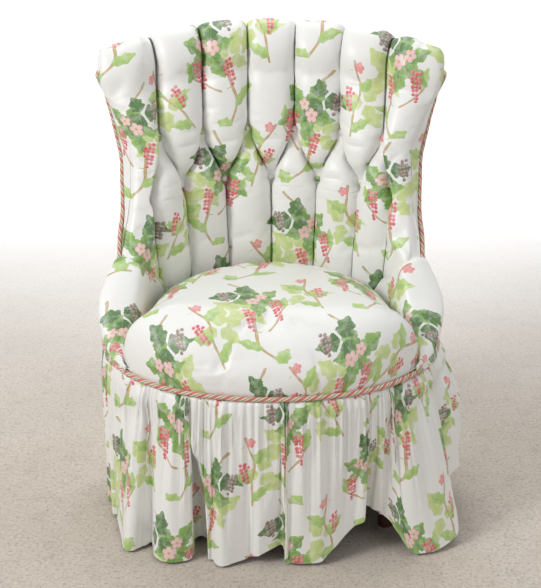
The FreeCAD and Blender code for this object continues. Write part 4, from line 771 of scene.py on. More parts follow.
def bed(height):
    """Centre and radius of the bed at a height."""
    radius_share, reach_share = read_table([
        (seat_level(0), 0.919, 0.919), (seat_level(0.45), 0.929, 0.929), (seat_level(1), 1.0, 1.0),
        (row_level(1), 1.094, 1.061), (wing_level(0.59), 1.414, 1.118), (wing_level(1), 1.65, 1.172),
    ], height)
    radius = radius_share * TUB_RADIUS
    return TUB_AXIS + reach_share * TUB_RADIUS - radius, radius


def bed_point(along, outset, height, at=None):
    """A point by its length along the bed from the middle and its distance behind the bed."""
    centre_y, radius = bed(height if at is None else at)
    turn = along / radius
    return np.array([(radius + outset) * math.sin(turn), centre_y + (radius + outset) * math.cos(turn),
                     height])


def bed_place(point, height):
    """The length along the bed and the distance behind it of a point."""
    centre_y, radius = bed(height)
    turn = math.atan2(point[0], point[1] - centre_y)
    return turn * radius, math.hypot(point[0], point[1] - centre_y) - radius


# The border: the seam round the tub where the inside and the outside covers are sewn together under the
# cord. Each row holds a height, the angle from the rear and the reach as a share of the tub's radius.
BORDER = [
    (seat_level(0.035), 99.8, 0.850), (seat_level(0.057), 95.5, 0.910), (seat_level(0.10), 92.4, 0.957),
    (seat_level(0.19), 88.0, 1.000), (seat_level(0.31), 83.0, 1.038), (seat_level(0.39), 79.5, 1.048),
    (seat_level(0.49), 74.5, 1.034), (seat_level(0.611), 68.6, 1.021), (seat_level(0.755), 63.0, 1.033),
    (seat_level(0.887), 58.8, 1.068), (seat_level(1), 56.2, 1.104), (row_level(0.27), 54.3, 1.138),
    (row_level(0.5), 52.9, 1.161), (row_level(0.76), 51.6, 1.193), (row_level(1), 50.9, 1.234),
    (wing_level(0.17), 50.5, 1.267), (wing_level(0.36), 50.0, 1.306), (wing_level(0.59), 49.5, 1.364),
    (wing_level(0.85), 48.9, 1.430), (wing_level(1), 48.4, 1.462),
]


def border_point(height):
    angle, share = read_table(BORDER, height)
    return tub_point(angle, share * TUB_RADIUS, height)


# The inside back: thirteen buttons in two rows pull the cover into upright pipes with a zigzag between
# the rows, down to the seat and up over the crest. It is chintz over cotton felt and burlap, sewn to
# the outside along the cord.
UPPER_BUTTONS = 6
LOWER_BUTTONS = 7
PITCH = 0.091
PUFF = 0.031
CREST_RISE = 0.069
CREST_DROP = 0.027
CORNER_ALONG = bed_place(border_point(CREST_ROLL), CREST_ROLL)[0]
CREST_END = CORNER_ALONG - 0.9 * PUFF
BUTTON_SEAT = 0.017
OUTER_DRAW = 0.08 * PITCH
PLEAT_WIDTH = 0.0016
NARROW = PLEAT_WIDTH / BUTTON_SEAT
# Each station holds its height and, as shares of the puff, how far its pleats and its pipes stand
# forward, then how far the pleats have parted and the width of a pleat as a share of a button's seat.
STATIONS = [
    (seat_level(0.10), 0.10, 0.47, 1, NARROW), (seat_level(0.28), 0.12, 0.50, 1, NARROW),
    (seat_level(0.45), 0.14, 0.57, 1, NARROW), (seat_level(0.611), 0.16, 0.70, 1, NARROW),
    (seat_level(0.755), 0.17, 0.83, 1, NARROW), (seat_level(0.887), 0.12, 0.94, 1, NARROW),
    (seat_level(0.955), 0.05, 0.99, 1, 0.30), (seat_level(1), 0.0, 1.0, 1, 0.9),
    (row_level(0.13), 0.0, 1.0, 0.85, 0.30), (row_level(0.32), -0.02, 1.0, 0.66, NARROW),
    (row_level(0.5), -0.02, 1.0, 0.48, NARROW), (row_level(0.7), -0.02, 1.0, 0.29, NARROW),
    (row_level(0.87), 0.0, 1.0, 0.13, 0.30), (row_level(1), 0.0, 1.02, 0, 0.9),
    (wing_level(0.1), 0.06, 1.03, 0, 0.30), (wing_level(0.22), 0.13, 1.04, 0, NARROW),
    (wing_level(0.42), 0.20, 1.05, 0, NARROW), (wing_level(0.65), 0.26, 1.05, 0, NARROW),
    (wing_level(0.85), 0.30, 1.05, 0, NARROW),
]
# Over the crest: behind the bed and above the roll, for a pipe and for a pleat, as shares of the rise.
# The last one is the seam behind the crest, which lies in a sloping plane.
CREST = [
    ((-0.56, 0.16), (-0.16, 0.12)), ((-0.44, 0.52), (-0.08, 0.42)), ((-0.16, 0.88), (0.08, 0.70)),
    ((0.16, 1.0), (0.28, 0.80)), ((0.46, 0.88), (0.46, 0.74)), ((0.66, 0.56), (0.61, 0.48)),
    ((0.70, 0.21), (0.70, 0.21)),
]
SEAM_SLOPE = 0.36
SEAM_OUTSET, SEAM_RISE = (share * CREST_RISE for share in CREST[-1][0])
# The wing: where its front ends short of the border, and where and how far round it goes under the arm.
WING_FRONT = 0.35 * PUFF
WING_FOOT = seat_level(0.62)
HIDDEN_TURN = math.radians(67.6)


def button_columns(count):
    """Places of a row of buttons from the middle, in pitches."""
    return [column - (count - 1) / 2 for column in range(count)]


def pleat_edges(parted, pleat_share, height):
    """Places of the fourteen pleat edges along the bed."""
    width = pleat_share * BUTTON_SEAT
    gather = min(1, bed(height)[1] / TUB_RADIUS)
    edges = []
    for column in button_columns(UPPER_BUTTONS):
        centre = column * PITCH
        half = blend(width / 2, (PITCH - width) / 2, parted)
        edges.extend([(centre - half) * gather, (centre + half) * gather])
    outer = blend(PLEAT_WIDTH, width, parted) * gather
    edges[0] += OUTER_DRAW * parted * gather
    edges[-1] -= OUTER_DRAW * parted * gather
    return [edges[0] - outer] + edges + [edges[-1] + outer]


def forward_share(width, pleat, pipe):
    """How far the middle of a pipe stands forward, by its width."""
    fullness = min(1, max(0, width - BUTTON_SEAT) / (0.5 * PITCH))
    return blend(pleat - 0.01, pipe, math.sin(fullness * math.pi / 2))


def tuft_row(edges, pleat, pipe):
    row = []
    for edge, following in zip(edges, edges[1:]):
        row.append((edge, pleat))
        row.append(((edge + following) / 2, forward_share(following - edge, pleat, pipe)))
    return row + [(edges[-1], pleat)]


def crest_fall(along, height):
    """How far a station sinks towards the corners of the crest."""
    ramp = within_one((height - UPPER_ROW) / (wing_level(0.85) - UPPER_ROW))
    return CREST_DROP * ramp * (along / CORNER_ALONG) ** 2


def sunk_border(height):
    """The border's point at a station, where the station has sunk towards the corner."""
    return border_point(height - crest_fall(bed_place(border_point(height), height)[0], height))


def back_outset(height):
    """How far behind the bed the padding ends."""
    share = within_one((height - RAIL_TOP) / (LOWER_ROW - RAIL_TOP))
    return 0.012 + 0.0072 * (1 - share)


def back_station(height, pleat, pipe, parted, pleat_share):
    """Points of one station, left border to right border."""
    row = tuft_row(pleat_edges(parted, pleat_share, height), pleat, pipe)
    if height <= WING_FOOT:
        border_along = HIDDEN_TURN * bed(height)[1]
        border_outset = back_outset(height)
        front_along = border_along
        roll = (border_along - 0.03 * PUFF, (border_outset - pipe * PUFF) / 2)
    else:
        border_along, border_outset = bed_place(sunk_border(height), height)
        front_along = border_along - WING_FRONT
        ramp = within_one((height - LOWER_ROW) / (CREST_ROLL - LOWER_ROW)) ** 7
        roll = (border_along + blend(0.2, 0.7, ramp) * PUFF,
                blend(0.25, 0.5, ramp) * border_outset - 0.25 * PUFF)
    last = row[-1][0]
    wing = forward_share(front_along - last + BUTTON_SEAT, pleat, pipe)
    right = [((last + front_along) / 2, -wing * PUFF), (front_along, -blend(pleat, pipe, 0.62) * PUFF),
             roll, (border_along, border_outset)]
    middle = [(along, -forward * PUFF) for along, forward in row]
    left = [(-along, outset) for along, outset in right[::-1]]
    return [bed_point(along, outset, height) - (0, 0, crest_fall(along, height))
            for along, outset in left + middle + right]


def crest_height(along, rise):
    return CREST_ROLL + rise - CREST_DROP * (along / CORNER_ALONG) ** 2


def on_seam_plane(point):
    """A point brought to the height of the sloping plane of the crest seam."""
    anchor = bed_point(0, SEAM_OUTSET, CREST_ROLL)
    rise = CREST_ROLL + SEAM_RISE
    return np.array([point[0], point[1], rise + SEAM_SLOPE * (point[1] - anchor[1])])


def crest_station(index):
    """Points of one station over the crest."""
    pipe, pleat = CREST[index]
    row = tuft_row(pleat_edges(0, NARROW, CREST_ROLL), 0, 1)
    share = (index + 1) / len(CREST)
    start = sunk_border(STATIONS[-1][0])
    start_along, start_outset = bed_place(start, CREST_ROLL)
    last = row[-1][0]
    front_along = blend(start_along - WING_FRONT, CREST_END - 0.5 * PUFF, share)
    right = []
    for along, fullness in (((last + front_along) / 2, 0.8), (front_along, 0.62)):
        rise = blend(pleat[1], pipe[1], fullness) * CREST_RISE
        right.append((along, blend(pleat[0], pipe[0], fullness) * CREST_RISE, crest_height(along, rise)))
    swell = math.sin(math.pi * share)
    border = (blend(start_along, CREST_END, share ** 2) + 0.4 * PUFF * swell,
              blend(start_outset, SEAM_OUTSET, share),
              blend(start[2], crest_height(CREST_END, SEAM_RISE), share) + 0.5 * PUFF * swell)
    bulge = 0.85 * PUFF * (1 - 0.5 * share)
    roll = [(near + far) / 2 for near, far in zip(right[-1], border)]
    right += [(roll[0] + bulge, roll[1], roll[2] + bulge * share), border]
    middle = []
    for along, forward in row:
        rise = blend(pleat[1], pipe[1], forward) * CREST_RISE
        middle.append((along, blend(pleat[0], pipe[0], forward) * CREST_RISE, crest_height(along, rise)))
    left = [(-along, outset, height) for along, outset, height in right[::-1]]
    points = [bed_point(along, outset, height, CREST_ROLL)
              for along, outset, height in left + middle + right]
    return [on_seam_plane(point) for point in points] if share == 1 else points


def smooth_between(rows, steps):
    """More rows on smooth curves through the given ones."""
    rows = np.asarray(rows, float)
    padded = np.concatenate([2 * rows[:1] - rows[1:2], rows, 2 * rows[-1:] - rows[-2:-1]])
    made = []
    for before, start, finish, after in zip(padded, padded[1:], padded[2:], padded[3:]):
        leave, enter = (finish - before) / 2, (after - start) / 2
        for share in np.arange(steps) / steps:
            square, cube = share ** 2, share ** 3
            made.append(start * (2 * cube - 3 * square + 1) + leave * (cube - 2 * square + share)
                        + finish * (3 * square - 2 * cube) + enter * (cube - square))
    return np.array(made + [rows[-1]])


PIPE_STEPS = 16
EDGE_COLUMNS = 28
FOLD_IN = 0.009
CREASE_DEPTH = 0.004
WIDEST_FOLD = 0.010


def pipe_profile(start, middle, finish):
    """A full pipe between two pleats, or, where its edges meet, a narrow fold tucked into the pad."""
    places = np.sin(np.linspace(-math.pi / 2, math.pi / 2, PIPE_STEPS + 1))[:-1]
    chord = (start + finish) / 2
    rise = middle - chord
    width = np.linalg.norm(finish - start)
    tucked = within_one(1 - (width - PLEAT_WIDTH) / WIDEST_FOLD)
    rise = rise * (1 - tucked) + tucked * FOLD_IN * np.array((0, 0.94, -0.34))
    swell = (1 - np.abs(places) ** 3) ** (1 / 2.1)
    swell[0] = -CREASE_DEPTH / max(np.linalg.norm(rise), CREASE_DEPTH)
    return [chord + place * (finish - start) / 2 + share * rise for place, share in zip(places, swell)]


def spread_row(row):
    """A dense row from the points of one station."""
    row = np.asarray(row)
    left = smooth_between(row[:5], EDGE_COLUMNS // 4)[:-1]
    right = smooth_between(row[-5:], EDGE_COLUMNS // 4)
    made = list(left)
    for bay in range(4, len(row) - 5, 2):
        made += pipe_profile(*row[bay:bay + 3])
    return np.array(made + list(right))


back_rows = [back_station(*station) for station in STATIONS] + [crest_station(i) for i in range(len(CREST))]
back_grid = smooth_between([spread_row(row) for row in back_rows], 7)


def lengths_across(grid):
    """Lengths along each row of a grid of points, from its first one."""
    across = np.linalg.norm(np.diff(grid, axis=1), axis=2)
    return np.concatenate([np.zeros((len(grid), 1)), np.cumsum(across, axis=1)], axis=1)


def cloth_coordinates(grid):
    """Lengths across and up a grid of points, from its middle column and its foot."""
    across = lengths_across(grid)
    across -= across[:, grid.shape[1] // 2][:, None]
    rows = len(grid)
    near = np.abs(np.arange(rows)[:, None] - np.arange(rows)[None]) / (0.1 * rows)
    weights = np.clip(1 - near, 0, 1)
    across = weights @ across / weights.sum(axis=1)[:, None]
    upward = np.linalg.norm(np.diff(grid, axis=0), axis=2)
    upward = np.concatenate([np.zeros((1, grid.shape[1])), np.cumsum(upward, axis=0)])
    return np.stack([across, upward], axis=2)


def back_coordinates(grid):
    """The same over the pipes: along the bed, and by true lengths only round the wings."""
    lengths = lengths_across(grid)
    across = np.array([[bed_place(point, min(point[2], CREST_ROLL))[0] for point in row] for row in grid])
    first, last = EDGE_COLUMNS, grid.shape[1] - 1 - EDGE_COLUMNS
    across[:, :first] = across[:, [first]] - lengths[:, [first]] + lengths[:, :first]
    across[:, last:] = across[:, [last]] - lengths[:, [last]] + lengths[:, last:]
    steps = np.linalg.norm(np.diff(grid, axis=0), axis=2).mean(axis=1)
    upward = np.concatenate([[0], np.cumsum(steps)])
    return np.stack([across, np.tile(upward[:, None], (1, grid.shape[1]))], axis=2)


def grid_faces(rows, columns, first=0, closed=False, flipped=False):
    faces = []
    for row in range(rows - 1):
        for column in range(columns if closed else columns - 1):
            following = (column + 1) % columns
            face = (first + row * columns + column, first + row * columns + following,
                    first + (row + 1) * columns + following, first + (row + 1) * columns + column)
            faces.append(face[::-1] if flipped else face)
    return faces


def add_cloth_map(piece, places):
    """Cloth coordinates for each point of a piece's mesh."""
    layer = piece.data.uv_layers.new(name=CLOTH_MAP)
    corners = np.zeros(len(piece.data.loops), int)
    piece.data.loops.foreach_get("vertex_index", corners)
    layer.data.foreach_set("uv", np.asarray(places, np.float32)[corners].ravel())


def settled(points, faces, held, cap, pressure=4.0, gravity=0.0, slack=0.0, frames=20):
    """Points of a mesh after a run of Cloth. Held points stay, and none moves further than the cap."""
    body = mesh_piece("cloth_in_work", points, faces)
    group = body.vertex_groups.new(name="held")
    for level in range(1, 11):
        group.add(np.flatnonzero(np.round(held * 10) == level).tolist(), level / 10, "REPLACE")
    cloth = body.modifiers.new("cloth", "CLOTH")
    cloth.settings.quality = 4
    cloth.settings.vertex_group_mass = group.name
    cloth.settings.use_pressure = pressure > 0
    cloth.settings.uniform_pressure_force = pressure
    cloth.settings.effector_weights.gravity = gravity
    cloth.settings.shrink_min = -slack
    cloth.point_cache.frame_end = frames
    for frame_number in range(1, frames + 1):
        bpy.context.scene.frame_set(frame_number)
    done = body.evaluated_get(bpy.context.evaluated_depsgraph_get()).data
    after = np.zeros(3 * len(points), np.float32)
    done.vertices.foreach_get("co", after)
    bpy.data.meshes.remove(body.data)
    bpy.context.scene.frame_set(1)
    moves = after.reshape(-1, 3) - points
    lengths = np.linalg.norm(moves, axis=1)
    return points + moves * np.minimum(1, cap / np.maximum(lengths, 1e-9))[:, None]


def closed_pad(name, front, back, places, material, held=None, **cloth):
    """A stuffed piece between a front grid and a back grid that share their edges."""
    rows, columns = front.shape[:2]
    points = np.concatenate([front.reshape(-1, 3), back.reshape(-1, 3)])
    faces = grid_faces(rows, columns) + grid_faces(rows, columns, rows * columns, flipped=True)
    second = rows * columns
    rim = list(range(columns))
    rim += [row * columns + columns - 1 for row in range(1, rows)]
    rim += [(rows - 1) * columns + column for column in range(columns - 2, -1, -1)]
    rim += [row * columns for row in range(rows - 2, 0, -1)]
    for start, finish in zip(rim, rim[1:] + rim[:1]):
        faces.append((start, second + start, second + finish, finish))
    if held is not None:
        points = settled(points, faces, np.concatenate([held.ravel(), np.ones(second)]), **cloth)
    piece = mesh_piece(name, points, faces, material)
    add_cloth_map(piece, np.concatenate([places.reshape(-1, 2)] * 2))
    return piece


# The hidden side of the padding, and the weights that hold the edges, the pleats and the buttons while
# the puffs between them settle.
LEAST_PAD = 0.001
behind = np.empty_like(back_grid)
for k, row in enumerate(back_grid):
    for j, point in enumerate(row):
        height = min(point[2] + crest_fall(bed_place(point, CREST_ROLL)[0], point[2]), CREST_ROLL)
        along, outset = bed_place(point, height)
        deeper = bed_point(along, max(outset, back_outset(height)) + LEAST_PAD, height)
        behind[k, j] = (deeper[0], deeper[1], point[2] - LEAST_PAD)
held = np.zeros(back_grid.shape[:2])
held[:4] = held[-5:] = 1
held[:, :8] = held[:, -8:] = 1
for bay in range(2 * UPPER_BUTTONS + 1):
    first = EDGE_COLUMNS + bay * PIPE_STEPS
    held[:, first] = held[:, first + PIPE_STEPS] = 1
    tucked = np.linalg.norm(back_grid[:, first + PIPE_STEPS] - back_grid[:, first], axis=1) < WIDEST_FOLD
    held[tucked, first:first + PIPE_STEPS + 1] = 1
button_sites = [(column, UPPER_ROW) for column in button_columns(UPPER_BUTTONS)]
button_sites += [(column, LOWER_ROW) for column in button_columns(LOWER_BUTTONS)]
for column, height in button_sites:
    button = bed_point(column * PITCH, 0, height)
    held = np.maximum(held, np.clip(2 - np.linalg.norm(back_grid - button, axis=2) / BUTTON_SEAT, 0, 1))
inside_back = closed_pad("tufted_back", back_grid, behind, back_coordinates(back_grid), CHINTZ,
                         held, cap=0.005, slack=0.012)
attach(inside_back, "root")
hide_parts("inside_back_cover", "back_padding")

# Buttons: thirteen domes covered with the same cotton, which is drawn into small tucks round the rim.
# Twine pulls each down through the padding, where the pleats meet.
CLOTH = 0.0015
BUTTON_WIDTH = 0.012
BUTTON_RISE = 0.0045
BUTTON_SIDES = 28
# Each button's cloth is cut from another place of the print.
BUTTON_CUT = 0.031
BUTTON_CUT_SCALE = 0.7
# Reach and rise, as shares of the width and the rise.
BUTTON_PROFILE = [(0.3, 0.985), (0.58, 0.90), (0.8, 0.72), (0.94, 0.44), (1.0, 0.18), (0.93, 0.0)]


def covered_button(along, height):
    """Points of a dome whose cloth is drawn into small tucks towards its rim."""
    seat = bed_point(along, CLOTH, height)
    outward = bed_point(along, -PUFF, height) - bed_point(along, 0, height)
    outward /= np.linalg.norm(outward)
    upward = np.array((0, 0, 1.0))
    sideways = np.cross(upward, outward)
    points = [seat + outward * BUTTON_RISE]
    for reach, rise in BUTTON_PROFILE:
        for step in range(BUTTON_SIDES):
            turn = 2 * math.pi * step / BUTTON_SIDES
            tuck = 1 - 0.05 * reach ** 3 * (step % 4 == 0)
            across = BUTTON_WIDTH / 2 * reach * tuck
            points.append(seat + outward * rise * BUTTON_RISE
                          + across * (math.cos(turn) * sideways + math.sin(turn) * upward))
    return points


points, faces, places = [], [], []
outermost = button_columns(LOWER_BUTTONS)[-1] * PITCH - OUTER_DRAW
for column, height in button_sites:
    along = max(-outermost, min(outermost, column * PITCH))
    dome = covered_button(along, height)
    rim_start = len(points) + 1
    points += dome
    places += [(point[0] * BUTTON_CUT_SCALE + BUTTON_CUT, point[2] * BUTTON_CUT_SCALE) for point in dome]
    faces += [(rim_start - 1, rim_start + step, rim_start + (step + 1) % BUTTON_SIDES)
              for step in range(BUTTON_SIDES)]
    faces += grid_faces(len(BUTTON_PROFILE), BUTTON_SIDES, rim_start, closed=True, flipped=True)
    faces.append([len(points) - 1 - step for step in range(BUTTON_SIDES)])
buttons = mesh_piece("covered_buttons", points, faces, CHINTZ)
add_cloth_map(buttons, places)
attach(buttons, "root")
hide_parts("tufting_buttons")

# Arms: low pads of felt under the print, over the arm boards, from the tub forward and down to the
# front corners. Each radial section rises from the corded border over a knob and falls to the seat.
ARM_TOP = 0.493
# Angle from the rear, inner reach as a share of the tub's radius, and top as a share of the arm's rise.
ARM_TABLE = [
    (48, 0.870, 0.567), (53, 0.862, 0.693), (58, 0.850, 0.819), (63, 0.838, 0.929), (68, 0.828, 1),
    (72, 0.820, 0.921), (76, 0.816, 0.811), (80, 0.820, 0.685), (84, 0.832, 0.559), (88, 0.852, 0.417),
    (92, 0.875, 0.276), (95.5, 0.895, 0.155), (98, 0.905, 0.101),
]
ARM_BORDER = [(angle, height, share * TUB_RADIUS) for height, angle, share in BORDER[7::-1]]
SEAT_FLOOR = RAIL_TOP + 0.0016
ARM_BULGE = 0.008
# Where each arm's cloth is cut from the print, so that a spray falls well on its knob.
ARM_CUTS = {"left": (-0.015, 0.075), "right": (0.125, 0.075)}


def arm_row(angle, inner_share, top_share):
    """Cover points of one section of the right arm: the border, over the top, down the inner side."""
    border_height, border_reach = read_table(ARM_BORDER, max(angle, ARM_BORDER[0][0]))
    top = blend(RAIL_TOP, ARM_TOP, top_share)
    inner = inner_share * TUB_RADIUS
    border_height = min(border_height, top - 0.1 * PUFF)
    width = border_reach - inner
    fall = top - SEAT_FLOOR
    bulge = min(ARM_BULGE, 0.5 * (top - border_height))
    points = [
        (border_reach, border_height), (border_reach + bulge, blend(border_height, top, 0.25)),
        (border_reach + 0.2 * bulge, blend(border_height, top, 0.78)), (border_reach - 0.36 * width, top),
        (inner + 0.16 * width, top - 0.10 * fall), (inner, top - 0.42 * fall),
        (inner + 0.01 * width, top - 0.72 * fall), (inner + 0.10 * width, SEAT_FLOOR),
    ]
    return [tub_point(angle, reach, height) for reach, height in points]


def under_arm(row):
    """The hidden side of a section: down the outside and back under the pad."""
    count = len(row)
    top, foot = row[0], row[-1]
    corner = np.array((top[0], top[1], foot[2] + 0.001))
    inward = (foot - corner) / max(np.linalg.norm((foot - corner)[:2]), 1e-6)
    made = []
    for share in np.linspace(0, 1, count):
        point = blend(top, corner, 2 * share) if share < 0.5 else blend(corner, foot, 2 * share - 1)
        made.append(point + inward * 0.003 * math.sin(math.pi * min(1, 2 * share)))
    return made


arm_rows = smooth_between([arm_row(*row) for row in ARM_TABLE], 8)
arm_grid = np.array([smooth_between(row, 7) for row in arm_rows])
under_grid = np.array([under_arm(row) for row in arm_grid])
for side, hand in ((-1, "left"), (1, "right")):
    front, below = [np.swapaxes(grid, 0, 1)[::-1, ::-side] * (side, 1, 1) for grid in (arm_grid, under_grid)]
    held = np.ones(front.shape[:2])
    held[4:-4, 10:-10] = 0
    arm = closed_pad(f"arm_{hand}", front, below, cloth_coordinates(front) + ARM_CUTS[hand], CHINTZ,
                     held, cap=0.004, slack=0.02)
    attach(arm, "root")
    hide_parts(f"arm_cover_{hand}", f"arm_padding_{hand}")

# The seat: a domed pad of springs, felt and cover, full to the corded front edge and against the arms
# and the tub. Its outline goes by the angle from the rear and the reach about the tub's axis.
SEAT_CROWN = 0.447
CROWN_SWELL = 0.005
COVER_INSET = 0.0062
SEAT_CUT = (0.104, 0.19)
SEAT_REACH = [
    (0, 0.866), (24, 0.866), (44, 0.868), (50, 0.866), (58, 0.848), (68, 0.826), (76, 0.816),
    (84, 0.832), (90, 0.868), (95, 0.908), (99, 0.935), (103, 0.95),
]
# Share of the rise, and how far the crown has drawn in at the front, the sides and the rear.
CROWN = [
    (0.0, 0.0, 0.0, 0.0), (0.13, -0.012, 0.0, 0.0), (0.30, -0.006, 0.0, 0.0), (0.46, 0.022, 0.006, 0.0),
    (0.62, 0.072, 0.018, 0.006), (0.76, 0.150, 0.048, 0.020), (0.87, 0.255, 0.100, 0.050),
    (0.95, 0.400, 0.200, 0.120), (1.0, 0.600, 0.400, 0.300),
]
SEAT_TURNS = 180
HELD_RINGS = 9


def seat_oval(degrees, outset):
    """Reach of the seat's oval from the tub's axis, by the angle from the rear."""
    turn = math.radians(degrees)
    return oval_reach(math.sin(turn), math.cos(turn), TUB_AXIS, outset)


def seat_reach(degrees):
    """Reach of the seat's edge, against the tub and the arms or out to the rail at the front."""
    degrees = min(degrees, 360 - degrees)
    front = seat_oval(degrees, -COVER_INSET)
    if degrees >= SEAT_REACH[-1][0]:
        return front
    return min(read_table(SEAT_REACH, degrees)[0] * TUB_RADIUS, front)


def seat_ring(share, front, side, rear):
    """One closed outline of the dome, drawn in from its edge by these shares."""
    ring = []
    height = blend(SEAT_FLOOR, SEAT_CROWN, share)
    for step in range(SEAT_TURNS):
        degrees = 360 * step / SEAT_TURNS
        turn = math.radians(degrees)
        to_front = (1 - math.cos(turn)) / 2
        sideways = math.sin(turn) ** 2 * (0.5 if to_front > 0.5 else 0.8)
        drawn = blend(blend(rear, front, to_front), side, sideways)
        ring.append(tub_point(degrees, max(seat_reach(degrees) - drawn * DEPTHS[True], 0.004), height))
    return np.array(ring)


rings = smooth_between([seat_ring(*row) for row in CROWN], 6)
middle = rings[-1].mean(axis=0)
crown_rings = []
for share in (0.8, 0.6, 0.4, 0.2):
    ring = middle + (rings[-1] - middle) * share
    ring[:, 2] = SEAT_CROWN + 0.8 * CROWN_SWELL * (1 - share)
    crown_rings.append(ring)
seat_grid = np.concatenate([rings, crown_rings])
top_point = np.array([middle[0], middle[1], SEAT_CROWN + CROWN_SWELL])
foot_point = np.array([middle[0], middle[1], SEAT_FLOOR])
# Cloth coordinates run outwards from the top of the dome, by the lengths down its sides.
to_top = np.diff(np.concatenate([seat_grid, np.tile(top_point, (1, SEAT_TURNS, 1))]), axis=0)
from_top = np.cumsum(np.linalg.norm(to_top, axis=2)[::-1], axis=0)[::-1]
ways = seat_grid - top_point
ways = ways / np.maximum(np.linalg.norm(ways[:, :, :2], axis=2), 1e-6)[:, :, None]
places = np.stack([ways[:, :, 0] * from_top, ways[:, :, 1] * from_top], axis=2).reshape(-1, 2)
points = np.concatenate([seat_grid.reshape(-1, 3), [top_point, foot_point]])
faces = grid_faces(len(seat_grid), SEAT_TURNS, closed=True, flipped=True)
last = len(seat_grid) - 1
for step in range(SEAT_TURNS):
    following = (step + 1) % SEAT_TURNS
    faces.append((last * SEAT_TURNS + following, last * SEAT_TURNS + step, len(points) - 2))
    faces.append((step, following, len(points) - 1))
held = np.zeros(len(points))
held[:HELD_RINGS * SEAT_TURNS] = 1
held[-1] = 1
points = settled(points, faces, held, cap=0.006, slack=0.001)
seat = mesh_piece("seat_dome", points, faces, CHINTZ)
add_cloth_map(seat, np.concatenate([places, [(0, 0), (0, 0)]]) + SEAT_CUT)
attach(seat, "root")
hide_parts("seat_cover", "seat_padding", "seat_edge_roll")

# The outside cover: one cloth stretched round the back and the outer sides of the arms, from the
# corded border down to the seat rail.
REAR_LEAN = [(seat_level(0), 0.0), (seat_level(1), 0.029), (row_level(1), 0.055), (wing_level(0.59), 0.088),
             (wing_level(1), 0.126)]
CORD_WIDTH = 0.0095
LEAN_START = RAIL_TOP + 0.86 * CORD_WIDTH
CORD_ROOM = math.degrees(0.0021 / HALF_WIDTH)


def skin_reach(degrees, height):
    """Distance from the tub's axis to the outside cover."""
    edge_angle, edge_share = read_table(BORDER, max(height, BORDER[0][0]))
    base = seat_oval(abs(degrees), -COVER_INSET)
    if height <= LEAN_START:
        return base
    rear = read_table(REAR_LEAN, height)[0] * DEPTHS[False]
    edge = edge_share * TUB_RADIUS - seat_oval(edge_angle, -COVER_INSET)
    return base + blend(rear, edge, min(1, abs(degrees) / edge_angle) ** 2)


OUTSIDE_COLUMNS = 121
column_shares = np.linspace(-1, 1, OUTSIDE_COLUMNS)
outside_heights = [RAIL_TOP - 0.01, LEAN_START] + [row[0] for row in BORDER[:18]]


def outside_row(height):
    edge = read_table(BORDER, max(height, BORDER[0][0]))[0] - CORD_ROOM
    return [tub_point(share * edge, skin_reach(share * edge, height), height) for share in column_shares]


def outside_seam_row():
    """The upper edge, in the plane of the crest seam."""
    outset = SEAM_OUTSET - CLOTH
    row = [on_seam_plane(bed_point(share * CREST_END, outset, CREST_ROLL)) for share in column_shares]
    return [point - (0, 0, CORD_WIDTH / 3) for point in row]


def outside_corner_row(index):
    """A row between the top of the border and the crest seam, out to the corner of the padding."""
    share = (index + 1) / len(CREST)
    row = blend(np.array(outside_row(outside_heights[-1])), np.array(outside_seam_row()), share)
    mirror = np.where(column_shares[:, None] < 0, (-1, 1, 1), (1, 1, 1))
    return row + mirror * (crest_station(index)[-1] - row[-1]) * column_shares[:, None] ** 8


outside_rows = [outside_row(height) for height in outside_heights]
outside_rows += [outside_corner_row(index) for index in range(len(CREST))]
outside_grid = np.concatenate([outside_rows[:2], smooth_between(outside_rows[2:], 5)])


def sheet_normals(grid, closed=False):
    """Unit normals of a grid of points."""
    if closed:
        across = np.roll(grid, -1, axis=1) - np.roll(grid, 1, axis=1)
    else:
        across = np.gradient(grid, axis=1)
    normals = np.cross(across, np.gradient(grid, axis=0))
    return normals / np.maximum(np.linalg.norm(normals, axis=2), 1e-9)[:, :, None]


inner_grid = outside_grid + sheet_normals(outside_grid) * CLOTH
outside_back = closed_pad("outside_back", inner_grid, outside_grid, cloth_coordinates(inner_grid), CHINTZ)
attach(outside_back, "root")
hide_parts("outside_back_cover")
outside_area = sum(face.area for face in outside_back.data.polygons) / 2
outside_height = outside_heights[-1] - outside_heights[0]
outside_area / outside_height

# The twisted cord: ten plies laid into a rope, in bands of coral, cream and sage. It is sewn over the
# seam between the inside and the outside covers, and round the seat over the skirt's gathered edge.
CORD_LAY = 0.043
CORD_PLIES = 10
CORD_STEP = 0.0017
YARN_TWIST = 5200
CORAL_YARN, CREAM_YARN, SAGE_YARN = paint(214, 116, 110), paint(238, 228, 206), paint(158, 164, 112)
CORD_BANDS = (CORAL_YARN, CORAL_YARN, CREAM_YARN, SAGE_YARN, CREAM_YARN)


